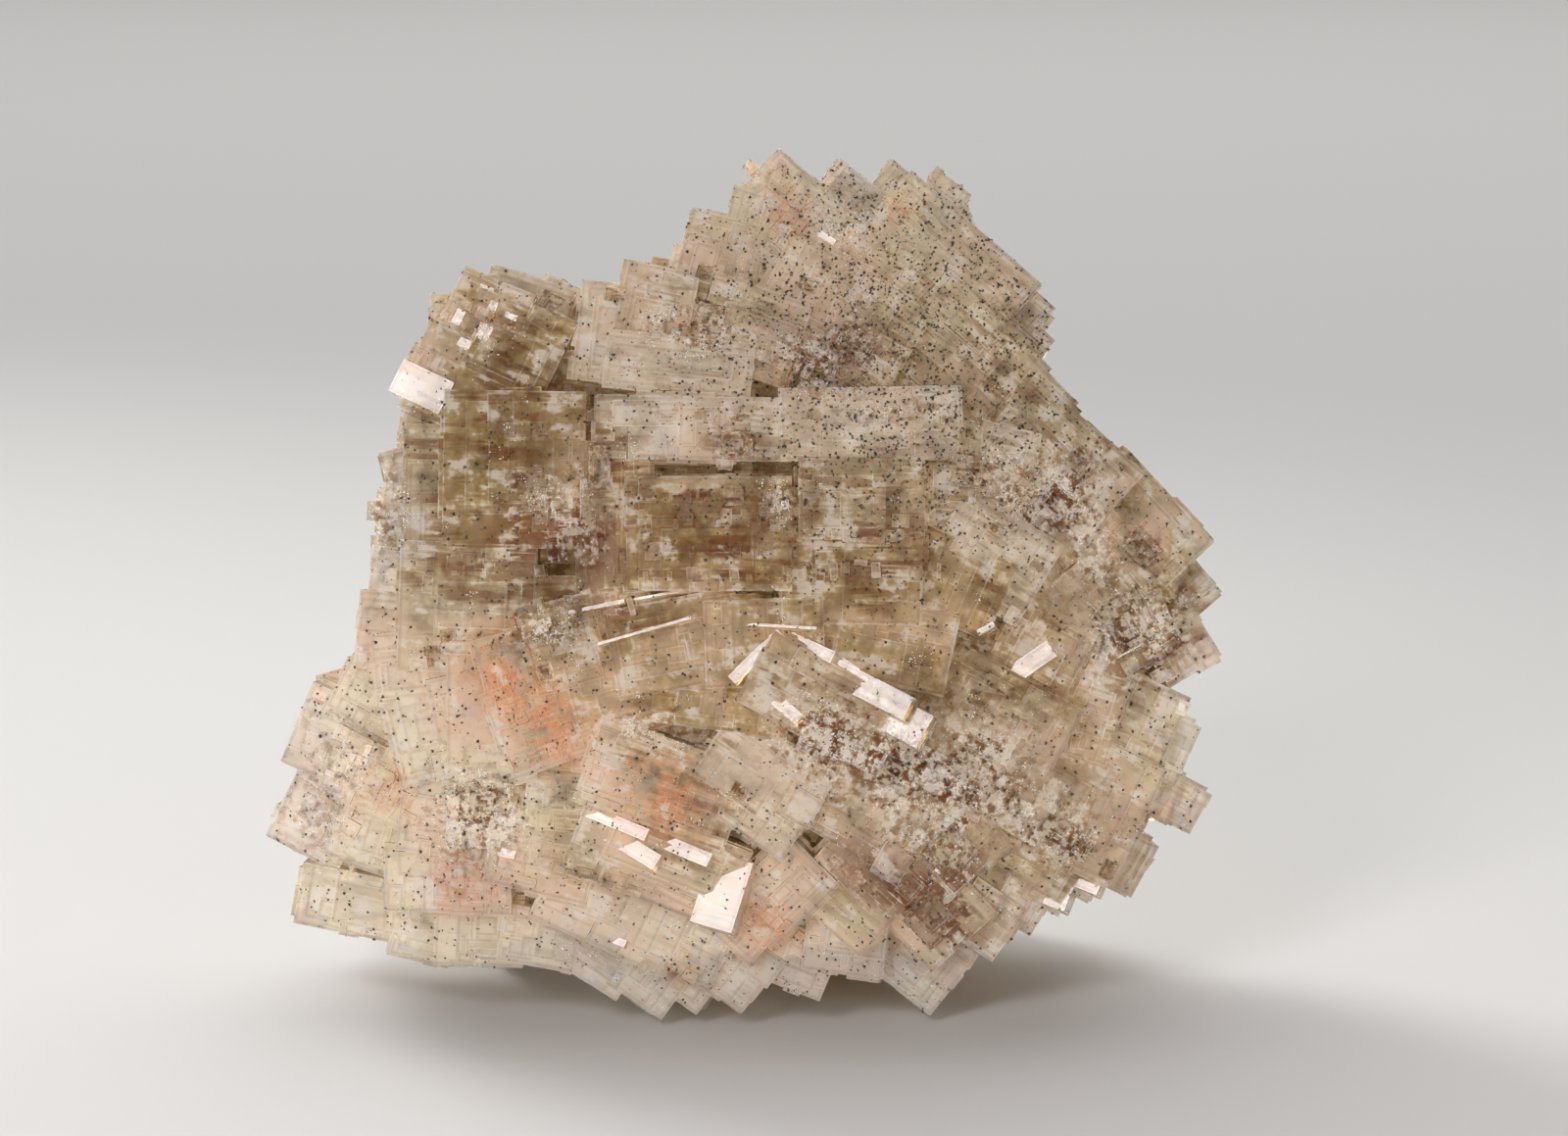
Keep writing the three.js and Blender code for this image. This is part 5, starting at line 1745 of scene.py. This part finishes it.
@dataclass
class Studio:
    """Pale floor, soft lights and the camera at the photograph's angle."""

    shape: FaceShape
    frame_width: float = 1600 / 12
    aim: tuple[float, float, float] = ((800 - 760) / 12, (1043 - 579.5) / 12, 6.0)
    distance: float = 400.0
    elevation: float = 10.0
    floor_reach: float = 3.0

    def floor(self) -> bpy.types.Object:
        """Makes the floor.

        Returns:
            A flat square of one face.
        """
        reach = self.floor_reach
        mesh = bpy.data.meshes.new("floor")
        mesh.from_pydata([(-reach, -reach, 0), (reach, -reach, 0), (reach, reach, 0),
                          (-reach, reach, 0)], [], [(0, 1, 2, 3)])
        mesh.materials.append(FloorFinish().material())
        floor = bpy.data.objects.new("floor", mesh)
        bpy.context.scene.collection.objects.link(floor)
        return floor

    def camera(self) -> bpy.types.Object:
        """Makes the camera.

        Returns:
            The camera, whose frame is as wide at the face as the photograph's.
        """
        data = bpy.data.cameras.new("camera")
        data.sensor_width = 36.0
        data.lens = data.sensor_width * self.distance / self.frame_width
        data.clip_start, data.clip_end = 0.01, 20.0
        camera = bpy.data.objects.new("camera", data)
        aim = Vector(self.shape.stand_up(np.array(self.aim)).tolist())
        tilt = np.radians(self.elevation)
        back = Vector((0.0, -np.cos(tilt), np.sin(tilt)))
        camera.location = aim + back * self.distance * MM
        camera.rotation_mode = "QUATERNION"
        camera.rotation_quaternion = (-back).to_track_quat("-Z", "Y")
        bpy.context.scene.collection.objects.link(camera)
        bpy.context.scene.camera = camera
        return camera

    def soft_light(self, name: str, place: tuple, aim: tuple, size: tuple, power: float,
                   colour: tuple = (1.0, 1.0, 1.0), spread: float = 180.0) -> None:
        """Adds one rectangular area light.

        Args:
            name: Name of the light.
            place: Where it hangs, in metres.
            aim: Point that it looks at, in metres.
            size: Width and height in metres.
            power: Watts.
            colour: Linear colour.
            spread: Width of its beam in degrees.
        """
        data = bpy.data.lights.new(name, "AREA")
        data.shape, data.size, data.size_y = "RECTANGLE", size[0], size[1]
        data.energy, data.color = power, colour
        data.spread = np.radians(spread)
        lamp = bpy.data.objects.new(name, data)
        lamp.location = place
        lamp.rotation_mode = "QUATERNION"
        lamp.rotation_quaternion = (Vector(aim) - Vector(place)).to_track_quat("-Z", "Y")
        bpy.context.scene.collection.objects.link(lamp)

    def lights(self) -> None:
        """Hangs the soft lights and sets a plain pale surrounding."""
        middle = (0.0, 0.0, 0.04)
        self.soft_light("overhead", (0.0, 1.1, 1.6), (0.0, 0.6, 0.0), (2.8, 2.0), 27.0)
        self.soft_light("key", KEY_PLACE, middle, (0.22, 0.22), 2.2, (0.96, 0.93, 1.0))
        self.soft_light("rim", (-0.42, 0.46, 0.3), middle, (0.3, 0.3), 0.36,
                        (1.0, 0.99, 0.97), 50.0)
        warm_white = (1.0, 0.97, 0.94)
        self.soft_light("low left", (-0.36, -0.5, 0.06), (-0.01, 0.0, -0.03), (0.3, 0.16), 0.13,
                        warm_white, 40.0)
        self.soft_light("low right", (0.38, -0.48, 0.05), (0.01, 0.0, -0.035), (0.3, 0.1), 0.1,
                        warm_white, 40.0)
        scene = bpy.context.scene
        scene.view_settings.view_transform = "Standard"
        scene.cycles.max_bounces = 4
        scene.cycles.diffuse_bounces = 2
        scene.cycles.glossy_bounces = 4
        scene.cycles.transmission_bounces = 4
        scene.cycles.transparent_max_bounces = 4
        world = bpy.data.worlds.new("surrounding")
        world.use_nodes = True
        make = Nodes(world.node_tree)
        back = make.add("ShaderNodeBackground", {"Color": (0.95, 0.93, 0.9, 1.0), "Strength": 0.2})
        make.add("ShaderNodeOutputWorld", {"Surface": back.outputs[0]})
        scene.world = world

    def build(self) -> bpy.types.Object:
        """Makes the camera, the lights and the floor.

        Returns:
            The floor.
        """
        self.camera()
        self.lights()
        return self.floor()


def main() -> None:
    """Builds the specimen and the studio, and reports each piece."""
    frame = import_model()
    log.info("packed solids: %s", ", ".join(frame["nodes"]))
    shape = FaceShape()
    floor = Studio(shape).build()
    crystals = FluoriteCluster(shape).build()
    crystals.data.materials.append(CrystalFinish(shape).material())
    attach(crystals, "root")
    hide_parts("fluorite_cluster")
    host = Host(crystals)
    orange = Flecks(shape, host, "orange_flecks", Stain.ORANGE, 23, 8000, 260, 0.15,
                    (0.03, 0.16), (-0.004, 0.25), slender=(0.3, 1.0))
    brown = Flecks(shape, host, "red_brown_flecks", Stain.RED_BROWN, 29, 16000, 560, 0.35,
                   (0.03, 0.17), (-0.006, 0.16), (0.12, 0.7), (0.25, 1.0))
    snow = Flecks(shape, host, "white_flecks", Stain.SNOW, 37, 13000, 420, 0.7,
                  (0.02, 0.15), (-0.01, 0.012), (0.08, 0.62), (0.12, 0.55))
    dressed = (
        (orange.build(), ORANGE_RUST), (brown.build(), BROWN_RUST), (snow.build(), SNOW_WHITE),
        (MilkyVeils(shape, host).build(), MILK), (DarkSpecks(host).build(), BLACK_GRAIN),
        (FrostGrains(shape, host).build(), FROST),
    )
    for piece, finish in dressed:
        piece.data.materials.append(finish.material())
        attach(piece, "root")
    for piece in (crystals, *(pair[0] for pair in dressed)):
        log.info("%s: %d vertices", piece.name, len(piece.data.vertices))


if __name__ == "__main__":
    logging.basicConfig(level=logging.INFO)
    main()
